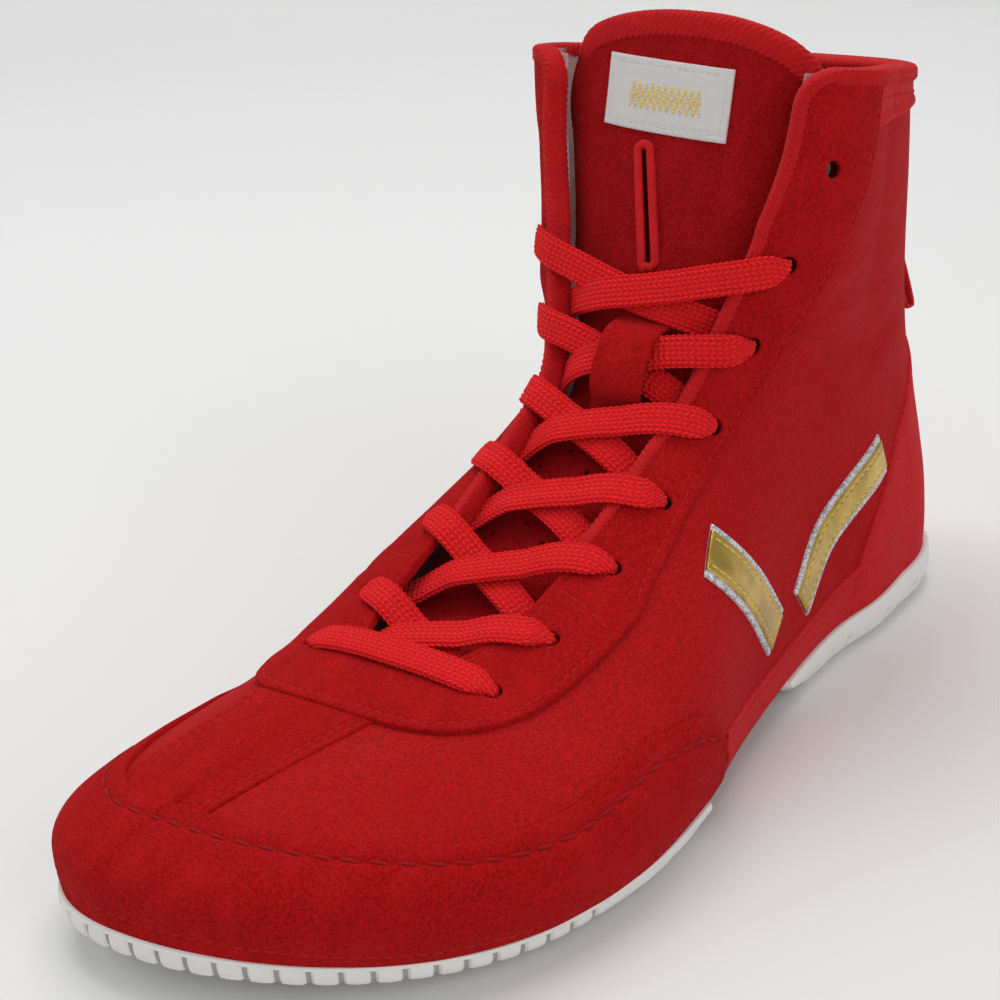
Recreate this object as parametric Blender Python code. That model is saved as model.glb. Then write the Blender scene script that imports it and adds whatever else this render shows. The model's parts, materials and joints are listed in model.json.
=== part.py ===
"""Left high-top boxing boot, built from separate panels, sole units, laces and trims.

World frame: metres, +Z up, toe towards -Y, outer (lateral) side towards +X, origin on the ground
under the middle of the heel.

Working frame of the functions below: millimetres, as (x, t, z), where x grows to the lateral side,
t is the distance forward of the heel's back and z is the height.
"""
import bpy
import bmesh
import numpy as np
from math import pi

MM = 0.001

# Driving dimensions (mm)
LENGTH = 280.0              # heel back to toe tip
HEEL_BACK = 36.0            # origin to heel back
TOE_LENGTH = 66.0           # stretch over which the toe closes
TOE_CENTRE = 235.0          # the rim's toe arc turns about this t
HEEL_CENTRE = 42.0          # the rim's heel arc turns about this t
ANKLE_PIVOT = (160.0, 125.0)   # (t, z) in front of the instep; the ankle sections fan about it
ANKLE_REACH = 98.0          # from that pivot to the middle of the ankle
COLLAR_HEIGHT = 161.5       # at the front
COLLAR_SLANT = 0.18         # rise of the collar from back to front, in radians
BAND_LOW = 146.0            # z of the collar band's and the foam's lower edges, at the front
FOAM_LOW = 130.0
BAND_EDGE = 63.6            # w of their ends, past the eyestays
FOAM_EDGE = 66.0
TAB_TOP = 106.0             # z range and half width of the pull tab
TAB_LOW = 74.0
TAB_HALF = 9.0
TAB_STAND = 9.5             # how far its lower end stands off the heel
TONGUE_HEIGHT = 172.0
TONGUE_ARCH = 13.0          # drop from the tongue's top to its corners
THROAT_BOTTOM = 204.0       # t of the lace opening's lower end
PATCH_REAR = 166.0          # t where the throat patch meets the eyestays
BINDING_WIDTH = 2.2
PATCH_SETBACK = 1.6         # from the opening to the throat patch's edge
PATCH_REACH = 62.5          # from the patch's rear line to its front
PATCH_HALF = 41.5           # its greatest half width
VAMP_REACH = 57.0           # the quarters' inner edge under the patch: reach and half width
VAMP_HALF = 36.0
STRIP_END = 225.5           # t of the toe strip's rear end
THROAT_HALF = 17.5          # half width of the opening there
CORNER_RADIUS = 8.0         # where the throat edge turns into the collar
EYELETS = 8                 # on each side
EYELET_FIRST = 201.0        # t of the lowest eyelet
EYELET_LAST = 138.0         # z of the highest eyelet
EYELET_SHIFTS = (-0.8, -1.0, 4.0, 4.8, 5.8, 2.6, -1.2, 0)   # of each eyelet up from even spacing
EYELET_INSET = 9.5          # from the throat edge
EYELET_RADIUS = 2.2
SLOT_LOW = 118.0            # z range of the slot in the tongue
SLOT_HIGH = 140.0
SLOT_HALF = 1.7
SLOT_SHIFTS = (-1.0, -7.0)  # of the slot's two ends towards the medial side
LABEL_LOW = 145.5           # z range and half width of the tongue label
LABEL_HIGH = 162.0
LABEL_HALF = 19.0
LABEL_SHIFT = -2.4
KEEPER_LOW = 88.0           # z range and half width of the lace keeper
KEEPER_HIGH = 101.0
KEEPER_HALF = 7.5
KEEPER_SHIFT = 3.5
LACED = 7                   # eyelets in use on each side
LACE_WIDTH = 5.6            # pressed narrow by its crossings
LACE_THICK = 1.5
LACE_STEP = 8.5             # longest straight stretch of the lace
LACE_PINCH = 3.0            # lace width inside an eyelet
SOLE_GAP = 0.6              # clearance between stacked pieces of the sole
FOREFOOT_END = 163.0        # rear end of the forefoot outsole
HEEL_END = 105.0            # front end of the heel outsole
GUARD_END = 152.0           # rear ends of the toe guard
PUFF_REACH = 85.0           # of the toe puff round each side
PUFF_HEIGHT = 22.0
HEEL_COVER_END = 69.0       # front ends of the heel cover
COUNTER_REACH = 72.0        # of the heel counter round each side
COUNTER_SHARE = 0.75        # of the heel cover's height
SADDLE_BAND = 13.0          # widths of the gold bands' backings
HEEL_BAND = 12.0
BAND_MARGIN = 1.6           # of the backing beyond the gold on each side

# Layers, as distances outside the main upper's outer face (mm)
MAIN = (-1.2, 0.0)
OVERLAY = (0.9, 1.9)
EDGING = (0.9, 1.4)
BAND = (1.9, 2.6)
MIDDLE = (-3.6, -2.2)
COUNTER = (-4.0, -2.9)
LINING = (-5.4, -4.6)
TONGUE = (-9.2, -7.6)
TONGUE_LINING = (-12.4, -11.2)
TONGUE_TRIM = (-7.1, -6.3)
LACE_INSIDE = -5.5
LACE_CROSS_LOW = -2.3
LACE_CROSS_TOP = 0.2
LACE_OVER = 3.4

RED = (0.52, 0.012, 0.022)
DARK_RED = (0.36, 0.008, 0.014)
BRIGHT_RED = (0.72, 0.018, 0.03)
WHITE = (0.86, 0.85, 0.82)
PINK = (0.78, 0.55, 0.52)
GOLD = (0.68, 0.46, 0.12)
GREY = (0.45, 0.44, 0.43)


# Shape of the foot
def smooth_curve(*points):
    """A smooth function through (x, y) points, constant beyond its ends."""
    xs, ys = np.array(points, float).T
    slopes = np.gradient(ys, xs)

    def value(x):
        x = np.clip(x, xs[0], xs[-1])
        i = np.clip(np.searchsorted(xs, x) - 1, 0, len(xs) - 2)
        step = xs[i + 1] - xs[i]
        u = (x - xs[i]) / step
        start = (1 + 2 * u) * (1 - u) ** 2 * ys[i] + u * (1 - u) ** 2 * step * slopes[i]
        end = u * u * (3 - 2 * u) * ys[i + 1] + u * u * (u - 1) * step * slopes[i + 1]
        return start + end
    return value


# Foot sections along t: centre line, half widths, top ridge, feather line and widest height
centre = smooth_curve((0, 0), (120, 0), (165, -2), (205, -8), (245, -17), (280, -24))
lateral_half = smooth_curve((0, 29.5), (40, 30.5), (90, 33), (130, 41.5), (165, 53), (195, 60.5),
                            (220, 63), (250, 63.5), (280, 63))
medial_half = smooth_curve((0, 30), (40, 31), (90, 30), (130, 35), (165, 43.5), (190, 45.5),
                           (215, 44.5), (245, 42), (280, 44))
ridge = smooth_curve((0, 66), (60, 84), (90, 97), (110, 101), (130, 90), (150, 74.5), (170, 61.5),
                     (195, 49), (220, 42.5), (245, 39), (280, 37))
feather = smooth_curve((0, 12), (30, 11), (60, 10), (100, 8.5), (150, 7), (195, 6.5), (230, 7.5), (280, 14.5))
widest = smooth_curve((0, 23), (150, 24), (200, 18), (245, 18), (280, 22))
roundness = smooth_curve((0, 2.4), (120, 2.1), (170, 2.0), (210, 2.3), (280, 2.5))
medial_roundness = smooth_curve((0, 2.4), (105, 2.1), (135, 2.5), (165, 2.8), (195, 2.5), (225, 2.35),
                                (280, 2.5))

# Leg sections along z: back, front, half widths, and how much wider the front is than the back
leg_back = smooth_curve((8, 3.5), (18, 1.5), (30, 1.5), (45, 3), (65, 6), (90, 9.5), (120, 12), (150, 13),
                        (175, 12), (190, 11.5))
leg_front = smooth_curve((8, 72), (30, 84), (60, 112), (80, 121), (100, 121), (125, 112),
                         (150, 104), (175, 97), (190, 93))
leg_lateral = smooth_curve((8, 29.5), (30, 30), (60, 30.5), (85, 33.5), (110, 37), (150, 38), (190, 38.5))
leg_medial = smooth_curve((8, 29), (30, 31.5), (60, 32), (85, 34.5), (108, 36), (130, 39), (150, 43),
                          (175, 46.5), (190, 48))
leg_taper = smooth_curve((8, 0), (50, 0), (85, 0.2), (110, 0.36), (150, 0.42), (190, 0.42))


def foot_distance(x, t, z):
    """Roughly the distance outside the foot, negative inside it."""
    run = np.clip((t - (LENGTH - TOE_LENGTH)) / TOE_LENGTH, 0, 1)
    side = x - centre(t)
    closing = np.maximum(np.sqrt(1 - run ** np.where(side > 0, 2.5, 3.0)), 0.001)
    half = np.where(side > 0, lateral_half(t), medial_half(t)) * closing
    up = np.maximum(z - widest(t), 0) / ((ridge(t) - widest(t)) * closing ** 0.9)
    down = np.maximum(widest(t) - z, 0) / (widest(t) - feather(t))
    tuck = np.maximum(1 - 0.07 * down ** 2, 0.05)
    power = np.where(side > 0, roundness(t), medial_roundness(t))
    radius = ((np.abs(side) / (half * tuck)) ** power + up ** power) ** (1 / power)
    fade = np.maximum(60 - t, 0) ** 2 / 60
    return np.where(t > LENGTH, 50, (radius - 1) * np.minimum(half, 45)) + fade


def leg_distance(x, t, z):
    middle = (leg_back(z) + leg_front(z)) / 2
    reach = (leg_front(z) - leg_back(z)) / 2
    forward = (t - middle) / reach
    spread = leg_taper(z) * (np.clip(forward, 0, 1.2) + 0.5 * np.clip(forward, -1, 0))
    half = np.where(x > 0, leg_lateral(z), leg_medial(z)) * (1 + spread)
    power = 2.4
    radius = (np.abs(x / half) ** power + np.abs(forward) ** power) ** (1 / power)
    return (radius - 1) * half


def outside(x, t, z):
    """Distance outside the whole boot: the foot and the leg, blended at the ankle."""
    foot, leg, blend = foot_distance(x, t, z), leg_distance(x, t, z), 12.0
    return np.minimum(foot, leg) - np.maximum(blend - np.abs(foot - leg), 0) ** 2 / (4 * blend)


def hit(origin, direction, reach=140.0):
    """Where rays from inside the boot leave its surface."""
    origin, direction = np.broadcast_arrays(np.asarray(origin, float), np.asarray(direction, float))
    near, far = np.zeros(origin.shape[:-1]), np.full(origin.shape[:-1], reach)
    for _ in range(30):
        middle = (near + far) / 2
        point = origin + direction * middle[..., None]
        inside = outside(point[..., 0], point[..., 1], point[..., 2]) < 0
        near, far = np.where(inside, middle, near), np.where(inside, far, middle)
    return origin + direction * near[..., None]


def normal(point, step=0.6):
    parts = []
    for axis in range(3):
        shift = np.zeros(3)
        shift[axis] = step
        ahead, behind = point + shift, point - shift
        parts.append(outside(*np.moveaxis(ahead, -1, 0)) - outside(*np.moveaxis(behind, -1, 0)))
    slope = np.stack(parts, -1)
    return slope / np.linalg.norm(slope, axis=-1, keepdims=True)


def running_length(points, axis):
    """Distance along lines of points, from their first point."""
    steps = np.linalg.norm(np.diff(points, axis=axis), axis=-1)
    start = np.zeros_like(np.take(steps, [0], axis=axis))
    return np.concatenate([start, np.cumsum(steps, axis=axis)], axis=axis)


def pick(table, lengths, row, length):
    """Point of a table of lines at a fractional row and a length along the line."""
    row, length = np.broadcast_arrays(np.asarray(row, float), np.asarray(length, float))
    low = np.clip(np.floor(row).astype(int), 0, len(table) - 2)
    part = row - low
    result = np.zeros(row.shape + (3,))
    for index in np.ndindex(row.shape):
        ends = []
        for line in (low[index], low[index] + 1):
            ends.append([np.interp(length[index], lengths[line], table[line, :, k]) for k in range(3)])
        result[index] = np.array(ends[0]) * (1 - part[index]) + np.array(ends[1]) * part[index]
    return result


# Wrap coordinates: s runs along the top line from the toe to above the collar, w goes round from
# that line, positive on the lateral side. Sections stand upright over the forefoot, fan about
# ANKLE_PIVOT round the ankle, and lean back up the leg until they are as steep as the collar.
def wrap_stations():
    origins, tops = [], []
    for t in np.linspace(272, ANKLE_PIVOT[0], 57)[:-1]:
        origins.append((centre(t), t, 26.0))
        tops.append((0, 0, 1))
    for angle in np.linspace(0, pi / 2, 61)[:-1]:
        t = ANKLE_PIVOT[0] - ANKLE_REACH * np.sin(angle)
        origins.append((centre(t), t, ANKLE_PIVOT[1] - ANKLE_REACH * np.cos(angle)))
        tops.append((0, np.sin(angle), np.cos(angle)))
    for z in np.linspace(ANKLE_PIVOT[1], 188, 32):
        slant = COLLAR_SLANT * min((z - ANKLE_PIVOT[1]) / 26, 1) ** 2
        origins.append((0, ANKLE_PIVOT[0] - ANKLE_REACH, z))
        tops.append((0, np.cos(slant), np.sin(slant)))
    return np.array(origins, float), np.array(tops, float)


WRAP_ORIGINS, WRAP_TOPS = wrap_stations()
TURN = np.linspace(-pi, pi, 241)
TOP_COLUMN = 120
WRAP = hit(WRAP_ORIGINS[:, None], WRAP_TOPS[:, None] * np.cos(TURN)[:, None]
           + np.array([1.0, 0, 0]) * np.sin(TURN)[:, None], 200.0)
WRAP_W = running_length(WRAP, 1)
WRAP_W = WRAP_W - WRAP_W[:, TOP_COLUMN:TOP_COLUMN + 1]
WRAP_S = running_length(WRAP[:, TOP_COLUMN], 0)


def s_at_t(t):
    """s where the top line of the forefoot passes t."""
    line = WRAP[:80, TOP_COLUMN, 1]
    return float(np.interp(-t, -line, WRAP_S[:80]))


def s_at_z(z):
    """s where the front line of the leg passes z."""
    line = WRAP[60:, TOP_COLUMN, 2]
    return float(np.interp(z, line, WRAP_S[60:]))


def wrap(s, w):
    """Surface point at wrap coordinates; w past the back line carries on round the other side."""
    row = np.interp(s, WRAP_S, np.arange(len(WRAP_S)))
    row, w = np.broadcast_arrays(row, np.asarray(w, float))
    lateral = np.interp(row, np.arange(len(WRAP_S)), WRAP_W[:, -1])
    medial = np.interp(row, np.arange(len(WRAP_S)), WRAP_W[:, 0])
    w = np.where(w > lateral, w - (lateral - medial), w)
    return pick(WRAP, WRAP_W, row, w)


def bottom_edges():
    """For each section, the w where a side reaches the feather line, or the back line."""
    edges = {1: [], -1: []}
    for points, lengths in zip(WRAP, WRAP_W):
        above = points[:, 2] - feather(points[:, 1]) - 0.5
        for side in (1, -1):
            column = TOP_COLUMN
            while 0 < column < len(TURN) - 1 and above[column + side] > 0:
                column += side
            if column in (0, len(TURN) - 1):
                edges[side].append(abs(lengths[column]) - 0.2)
                continue
            part = above[column] / (above[column] - above[column + side])
            edges[side].append(abs(lengths[column] + part * (lengths[column + side] - lengths[column])))
    return {side: np.array(values) for side, values in edges.items()}


BOTTOM = bottom_edges()


def bottom_w(s, side):
    return np.interp(s, WRAP_S, BOTTOM[side])


# Rim coordinates: q runs round the feather line from the heel's back by the lateral side to the toe
# and home by the medial side, g goes up the surface from that line.
def rim_stations():
    origins, ways = [], []
    for angle in np.linspace(0, pi / 2, 31)[:-1]:
        origins.append((0, HEEL_CENTRE))
        ways.append((np.sin(angle), -np.cos(angle)))
    for t in np.linspace(HEEL_CENTRE, TOE_CENTRE, 80)[:-1]:
        origins.append((centre(t), t))
        ways.append((1, 0))
    for angle in np.linspace(0, pi, 81)[:-1]:
        origins.append((centre(TOE_CENTRE), TOE_CENTRE))
        ways.append((np.cos(angle), np.sin(angle)))
    for t in np.linspace(TOE_CENTRE, HEEL_CENTRE, 80)[:-1]:
        origins.append((centre(t), t))
        ways.append((-1, 0))
    for angle in np.linspace(pi / 2, 0, 31):
        origins.append((0, HEEL_CENTRE))
        ways.append((-np.sin(angle), -np.cos(angle)))
    return np.array(origins, float), np.array(ways, float)


def rim_table():
    origins, ways = rim_stations()
    start = np.column_stack([origins, widest(origins[:, 1])])
    lines = []
    low, high = np.full(len(ways), -1.2), np.zeros(len(ways))
    for _ in range(24):
        middle = (low + high) / 2
        flat = np.column_stack([ways * np.cos(middle)[:, None], np.sin(middle)])
        point = hit(start, flat, 200.0)
        under = point[:, 2] < feather(point[:, 1])
        low, high = np.where(under, middle, low), np.where(under, high, middle)
    for part in np.linspace(0, 1, 61):
        rise = high + (1.48 - high) * part
        lines.append(hit(start, np.column_stack([ways * np.cos(rise)[:, None], np.sin(rise)]), 200.0))
    return np.stack(lines, 1)


RIM = rim_table()
RIM_G = running_length(RIM, 1)
RIM_Q = running_length(RIM[:, 0], 0)
RIM_TIP = int(np.argmax(RIM[:, 0, 1]))
Q_TIP, Q_END = float(RIM_Q[RIM_TIP]), float(RIM_Q[-1])


def rim(q, g):
    q = np.mod(q, Q_END)
    return pick(RIM, RIM_G, np.interp(q, RIM_Q, np.arange(len(RIM_Q))), g)


def q_at_t(t, side):
    """q where the feather line passes t on one side."""
    if side > 0:
        return float(np.interp(t, RIM[:RIM_TIP, 0, 1], RIM_Q[:RIM_TIP]))
    return float(np.interp(-t, -RIM[RIM_TIP:, 0, 1], RIM_Q[RIM_TIP:]))


# Mesh building
def finish(name, bm, colour, roughness, metallic=0.0):
    bmesh.ops.remove_doubles(bm, verts=bm.verts, dist=0.00001)
    bmesh.ops.recalc_face_normals(bm, faces=bm.faces)
    mesh = bpy.data.meshes.new(name)
    bm.to_mesh(mesh)
    bm.free()
    material = bpy.data.materials.new(name)
    material.use_nodes = True
    shader = material.node_tree.nodes["Principled BSDF"]
    shader.inputs["Base Color"].default_value = (*colour, 1)
    shader.inputs["Roughness"].default_value = roughness
    shader.inputs["Metallic"].default_value = metallic
    mesh.materials.append(material)
    mesh.shade_smooth()
    mesh.set_sharp_from_angle(angle=0.7)
    piece = bpy.data.objects.new(name, mesh)
    bpy.context.scene.collection.objects.link(piece)
    return piece


def world(points):
    points = np.asarray(points, float)
    return np.stack([points[..., 0], HEEL_BACK - points[..., 1], points[..., 2]], -1) * MM


def loft(name, rings, colour, roughness, metallic=0.0, closed=False):
    """A solid through rings of points, each ring one closed section; closed joins last to first."""
    bm = bmesh.new()
    rows = [[bm.verts.new(point) for point in world(ring)] for ring in rings]
    pairs = list(zip(rows, rows[1:])) + ([(rows[-1], rows[0])] if closed else [])
    for first, second in pairs:
        for k in range(len(first)):
            n = (k + 1) % len(first)
            bm.faces.new((first[k], first[n], second[n], second[k]))
    if not closed:
        bm.faces.new(rows[0][::-1])
        bm.faces.new(rows[-1])
    return finish(name, bm, colour, roughness, metallic)


def sheet(name, place, rows, columns, layer, colour, roughness, metallic=0.0, closed=False):
    """A panel of even thickness: place(f, c) gives its surface points for f and c from 0 to 1."""
    f, c = np.meshgrid(rows, columns, indexing="ij")
    base = place(f, c)
    out = normal(base)
    low, high = base + out * layer[0], base + out * layer[1]
    rings = [np.concatenate([high[i], low[i][::-1]]) for i in range(len(rows))]
    bm = bmesh.new()
    count = len(columns)
    lines = [[bm.verts.new(point) for point in world(ring)] for ring in rings]
    pairs = list(zip(lines, lines[1:])) + ([(lines[-1], lines[0])] if closed else [])
    for first, second in pairs:
        for k in range(2 * count):
            n = (k + 1) % (2 * count)
            bm.faces.new((first[k], first[n], second[n], second[k]))
    if not closed:
        for line in (lines[0][::-1], lines[-1]):
            for k in range(count - 1):
                bm.faces.new((line[k], line[k + 1], line[2 * count - 2 - k], line[2 * count - 1 - k]))
    return finish(name, bm, colour, roughness, metallic)


def even(count):
    return np.linspace(0, 1, count + 1)


def round_hole(point, radius):
    """Eight corners of a round hole in the surface about a point, and its axis."""
    axis = normal(point)
    side = np.cross(axis, (0.0, 1.0, 0.0))
    side = side / np.linalg.norm(side)
    other = np.cross(axis, side)
    angles = np.linspace(0, 2 * pi, 8, endpoint=False)
    return point + radius * (np.cos(angles)[:, None] * side + np.sin(angles)[:, None] * other), axis


def cut(piece, holes, reach=9.0):
    """Holes through a panel, each an outline and the axis it is cut along."""
    bm = bmesh.new()
    for outline_points, axis in holes:
        rings = [[bm.verts.new(corner) for corner in world(outline_points + axis * depth)]
                 for depth in (-reach, reach)]
        for k in range(len(outline_points)):
            n = (k + 1) % len(outline_points)
            bm.faces.new((rings[0][k], rings[0][n], rings[1][n], rings[1][k]))
        bm.faces.new(rings[0][::-1])
        bm.faces.new(rings[1])
    cutter = finish(piece.name + "_cutter", bm, GREY, 0.5)
    cutter.hide_render = True
    cutter.display_type = "WIRE"
    modifier = piece.modifiers.new("Holes", "BOOLEAN")
    modifier.object = cutter


def drill(piece, points):
    cut(piece, [round_hole(point, EYELET_RADIUS) for point in points])


# Lines on the upper
S_PATCH = s_at_t(PATCH_REAR)
S_COLLAR = s_at_z(COLLAR_HEIGHT)
S_BOTTOM = s_at_t(THROAT_BOTTOM)
throat_upper = smooth_curve((S_PATCH, THROAT_HALF), (s_at_t(150), 18), (s_at_t(138), 18.5), (s_at_z(99), 22),
                            (s_at_z(121), 29), (s_at_z(140), 34), (S_COLLAR, 35.5))
stay_edge = smooth_curve((S_PATCH, 38.5), (s_at_t(155), 35.5), (s_at_t(139), 33.5), (s_at_z(95), 36.5),
                         (s_at_z(108), 44), (s_at_z(118), 51), (s_at_z(128), 58.5), (s_at_z(140), 61),
                         (S_COLLAR, 61))
overlap = smooth_curve((S_PATCH, 2.6), (s_at_t(138), 2.4), (s_at_z(121), 6), (S_COLLAR, 8))


def oval(s, forward, half):
    """Half width of a blunt oval that ends forward of the patch's rear line."""
    return half * np.cbrt(np.maximum(1 - (np.maximum(S_PATCH - s, 0) / forward) ** 3, 0))


def throat_edge(s):
    corner = np.clip(s - (S_COLLAR - CORNER_RADIUS), 0, CORNER_RADIUS)
    turn = CORNER_RADIUS - np.sqrt(CORNER_RADIUS ** 2 - corner ** 2)
    return np.where(s < S_PATCH, oval(s, S_PATCH - S_BOTTOM, THROAT_HALF), throat_upper(s)) + turn


def main_edge(s):
    """Inner edge of the quarters, under the throat patch and the eyestays."""
    return np.maximum(np.where(s < S_PATCH, oval(s, VAMP_REACH, VAMP_HALF), stay_edge(s) - overlap(s)), 0.25)


def lining_edge(s):
    ahead = oval(s, VAMP_REACH + 1, VAMP_HALF + 1)
    return np.maximum(np.where(s < S_PATCH, ahead, stay_edge(s) - overlap(s) + 0.8), 0.4)


EYELET_S = np.linspace(s_at_t(EYELET_FIRST), s_at_z(EYELET_LAST), EYELETS)
EYELET_S = EYELET_S + np.array(EYELET_SHIFTS)
EYELET_W = throat_upper(EYELET_S) + EYELET_INSET + np.where(np.arange(EYELETS) == EYELETS - 1, 2.5, 0)


def eyelet(index, side):
    return wrap(EYELET_S[index], side * EYELET_W[index])


def even_rows(first, last, count, side):
    """Stations with even steps along both the top line and the lower edge."""
    s = np.linspace(first, last, 240)
    lower = running_length(wrap(s, side * bottom_w(s, side)), 0)
    upper = running_length(wrap(s, 0 * s), 0)
    travel = np.concatenate([[0], np.cumsum(np.maximum(np.diff(lower), np.diff(upper)))])
    return np.interp(np.linspace(0, travel[-1], count + 1), travel, s)


# Upper
def half_panel(name, side, inner, last, count, columns, layer, colour, roughness):
    """A panel from an inner line down to the sole and back to the heel, on one side."""
    rows = even_rows(s_at_t(263), last, count, side)

    def place(s, c):
        edge = inner(s)
        return wrap(s, side * (edge + (bottom_w(s, side) - edge) * c))
    return sheet(name, place, rows, even(columns), layer, colour, roughness)


def build_quarters():
    for side, name in ((1, "lateral"), (-1, "medial")):
        half_panel("quarter_" + name, side, main_edge, S_COLLAR, 30, 10, MAIN, RED, 0.75)
        half_panel("lining_" + name, side, lining_edge, S_COLLAR - 1, 22, 8, LINING, PINK, 0.9)


guard_height = smooth_curve((0, 33.5), (0.35, 30.5), (0.62, 27), (0.83, 28.5), (0.93, 22), (1, 7))


def build_toe():
    first, last = q_at_t(GUARD_END, 1), q_at_t(GUARD_END, -1)

    def guard(f, c):
        q = first + (last - first) * f
        share = np.where(q < Q_TIP, (Q_TIP - q) / (Q_TIP - first), (q - Q_TIP) / (last - Q_TIP))
        return rim(q, 1.5 + (guard_height(share) - 1.5) * c)
    sheet("toe_guard", guard, even(34), even(5), OVERLAY, DARK_RED, 0.9)

    def puff(f, c):
        return rim(Q_TIP + PUFF_REACH * (2 * f - 1), 1.5 + PUFF_HEIGHT * c)
    sheet("toe_puff", puff, even(18), even(3), MIDDLE, GREY, 0.8)

    edge = guard(np.linspace(0.3, 0.7, 61), 1.06)

    def strip(f, c):
        w = -5.9 + 1.7 * f + (2 * c - 1) * (14.7 + 3.7 * f)
        first = s_at_t(250)
        for _ in range(3):
            t = np.interp(wrap(first, w)[..., 0], edge[::-1, 0], edge[::-1, 1]) - 0.4
            first = np.interp(-t, -WRAP[:80, TOP_COLUMN, 1], WRAP_S[:80])
        return wrap(first + (s_at_t(STRIP_END) - first) * f, w)
    sheet("toe_strip", strip, even(5), even(6), OVERLAY, DARK_RED, 0.9)


def build_throat_patch():
    def place(f, c):
        way = 2 * f - 1
        angle = pi / 2 * np.abs(way) ** 1.4
        ahead, aside = np.cos(angle), np.sin(angle)
        inner = np.stack([(S_PATCH - S_BOTTOM + PATCH_SETBACK) * ahead ** 0.67,
                          np.sign(way) * (THROAT_HALF + PATCH_SETBACK) * aside ** 0.67], -1)
        outer = np.stack([PATCH_REACH * ahead ** 0.6,
                          np.sign(way) * (PATCH_HALF - 3 * aside ** 8) * aside ** 0.6], -1)
        spot = inner + (outer - inner) * c[..., None]
        return wrap(S_PATCH - 0.4 - spot[..., 0], spot[..., 1])
    patch = sheet("throat_patch", place, even(28), even(4), OVERLAY, DARK_RED, 0.9)
    drill(patch, [eyelet(k, side) for side in (1, -1) for k in (0, 1)])


def build_eyestays():
    rows = np.linspace(S_PATCH + 0.4, S_COLLAR, 17)
    for side, name in ((1, "lateral"), (-1, "medial")):
        def stay(s, c):
            edge = throat_edge(s) + BINDING_WIDTH + 0.6
            return wrap(s, side * (edge + (stay_edge(s) - edge) * c))
        piece = sheet("eyestay_" + name, stay, rows, even(3), OVERLAY, DARK_RED, 0.9)
        drill(piece, [eyelet(k, side) for k in range(2, EYELETS)])

        def backer(s, c):
            return wrap(s, side * (throat_edge(s) + 3 + 12.5 * c))
        back_rows = np.linspace(S_PATCH + 2, S_COLLAR - CORNER_RADIUS, 14)
        piece = sheet("eyelet_backer_" + name, backer, back_rows, even(2), MIDDLE, GREY, 0.8)
        drill(piece, [eyelet(k, side) for k in range(2, EYELETS)])


def build_bindings():
    for side, name in ((1, "lateral"), (-1, "medial")):
        def place(s, c):
            return wrap(s, side * (throat_edge(s) + BINDING_WIDTH * c))
        rows = np.linspace(S_PATCH + 0.4, S_COLLAR - 0.6, 20)
        sheet("throat_binding_" + name, place, rows, even(1), (-1.4, 1.4), BRIGHT_RED, 0.85)

    start = float(throat_edge(S_COLLAR)) - 2
    whole = float(np.interp(S_COLLAR, WRAP_S, WRAP_W[:, -1] - WRAP_W[:, 0]))

    def collar(f, c):
        return wrap(S_COLLAR + 0.5 + 2.4 * c, start + (whole - 2 * start) * f)
    sheet("collar_binding", collar, even(30), even(1), (-5.4, 1.9), BRIGHT_RED, 0.85)

    band_low, foam_low = s_at_z(BAND_LOW), s_at_z(FOAM_LOW)

    def band(f, c):
        return wrap(band_low + (S_COLLAR - band_low) * c, BAND_EDGE + (whole - 2 * BAND_EDGE) * f)
    sheet("collar_band", band, even(16), even(1), OVERLAY, RED, 0.85)

    def foam(f, c):
        return wrap(foam_low + (S_COLLAR - 1 - foam_low) * c, FOAM_EDGE + (whole - 2 * FOAM_EDGE) * f)
    sheet("collar_foam", foam, even(14), even(2), MIDDLE, GREY, 0.9)


heel_height = smooth_curve((0, 66), (0.25, 61), (0.55, 47), (0.8, 31), (0.94, 17), (1, 5))


def build_heel():
    reach = {1: q_at_t(HEEL_COVER_END, 1), -1: Q_END - q_at_t(HEEL_COVER_END, -1)}

    def cover(f, c):
        way = 2 * f - 1
        q = np.where(way > 0, reach[1], reach[-1]) * way
        return rim(q, 0.5 + (heel_height(np.abs(way)) - 0.5) * c)
    sheet("heel_cover", cover, even(20), even(8), OVERLAY, DARK_RED, 0.85)

    def counter(f, c):
        way = 2 * f - 1
        return rim(COUNTER_REACH * way, 1.5 + COUNTER_SHARE * heel_height(np.abs(way) * 0.9) * c)
    sheet("heel_counter", counter, even(16), even(5), COUNTER, GREY, 0.7)

    def back(f, c):
        x, z = TAB_HALF * (2 * c - 1), TAB_TOP + (TAB_LOW - TAB_TOP) * f
        start = np.stack([x, np.full_like(x, HEEL_CENTRE), z], -1)
        away = TAB_STAND * f ** 1.5
        return hit(start, np.array([0.0, -1.0, 0.0])) - np.array([0, 1.0, 0]) * away[..., None]
    sheet("pull_tab", back, even(6), even(2), (2.4, 4.0), RED, 0.85)


def build_foxing():
    for side, name in ((1, "lateral"), (-1, "medial")):
        first = q_at_t(HEEL_COVER_END + 1.2, side)
        last = q_at_t(GUARD_END - 0.8, side)

        def place(f, c):
            return rim(first + (last - first) * f, 0.5 + (11 + 3 * (2 * f - 1) ** 2) * c)
        sheet("foxing_" + name, place, even(9), even(2), OVERLAY, DARK_RED, 0.85)


# Gold bands on the lateral side, laid along lines of (t, z)
def side_point(t, z):
    start = np.stack([centre(t), t, z], -1)
    return hit(start, np.array([1.0, 0.0, 0.0]))


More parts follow.
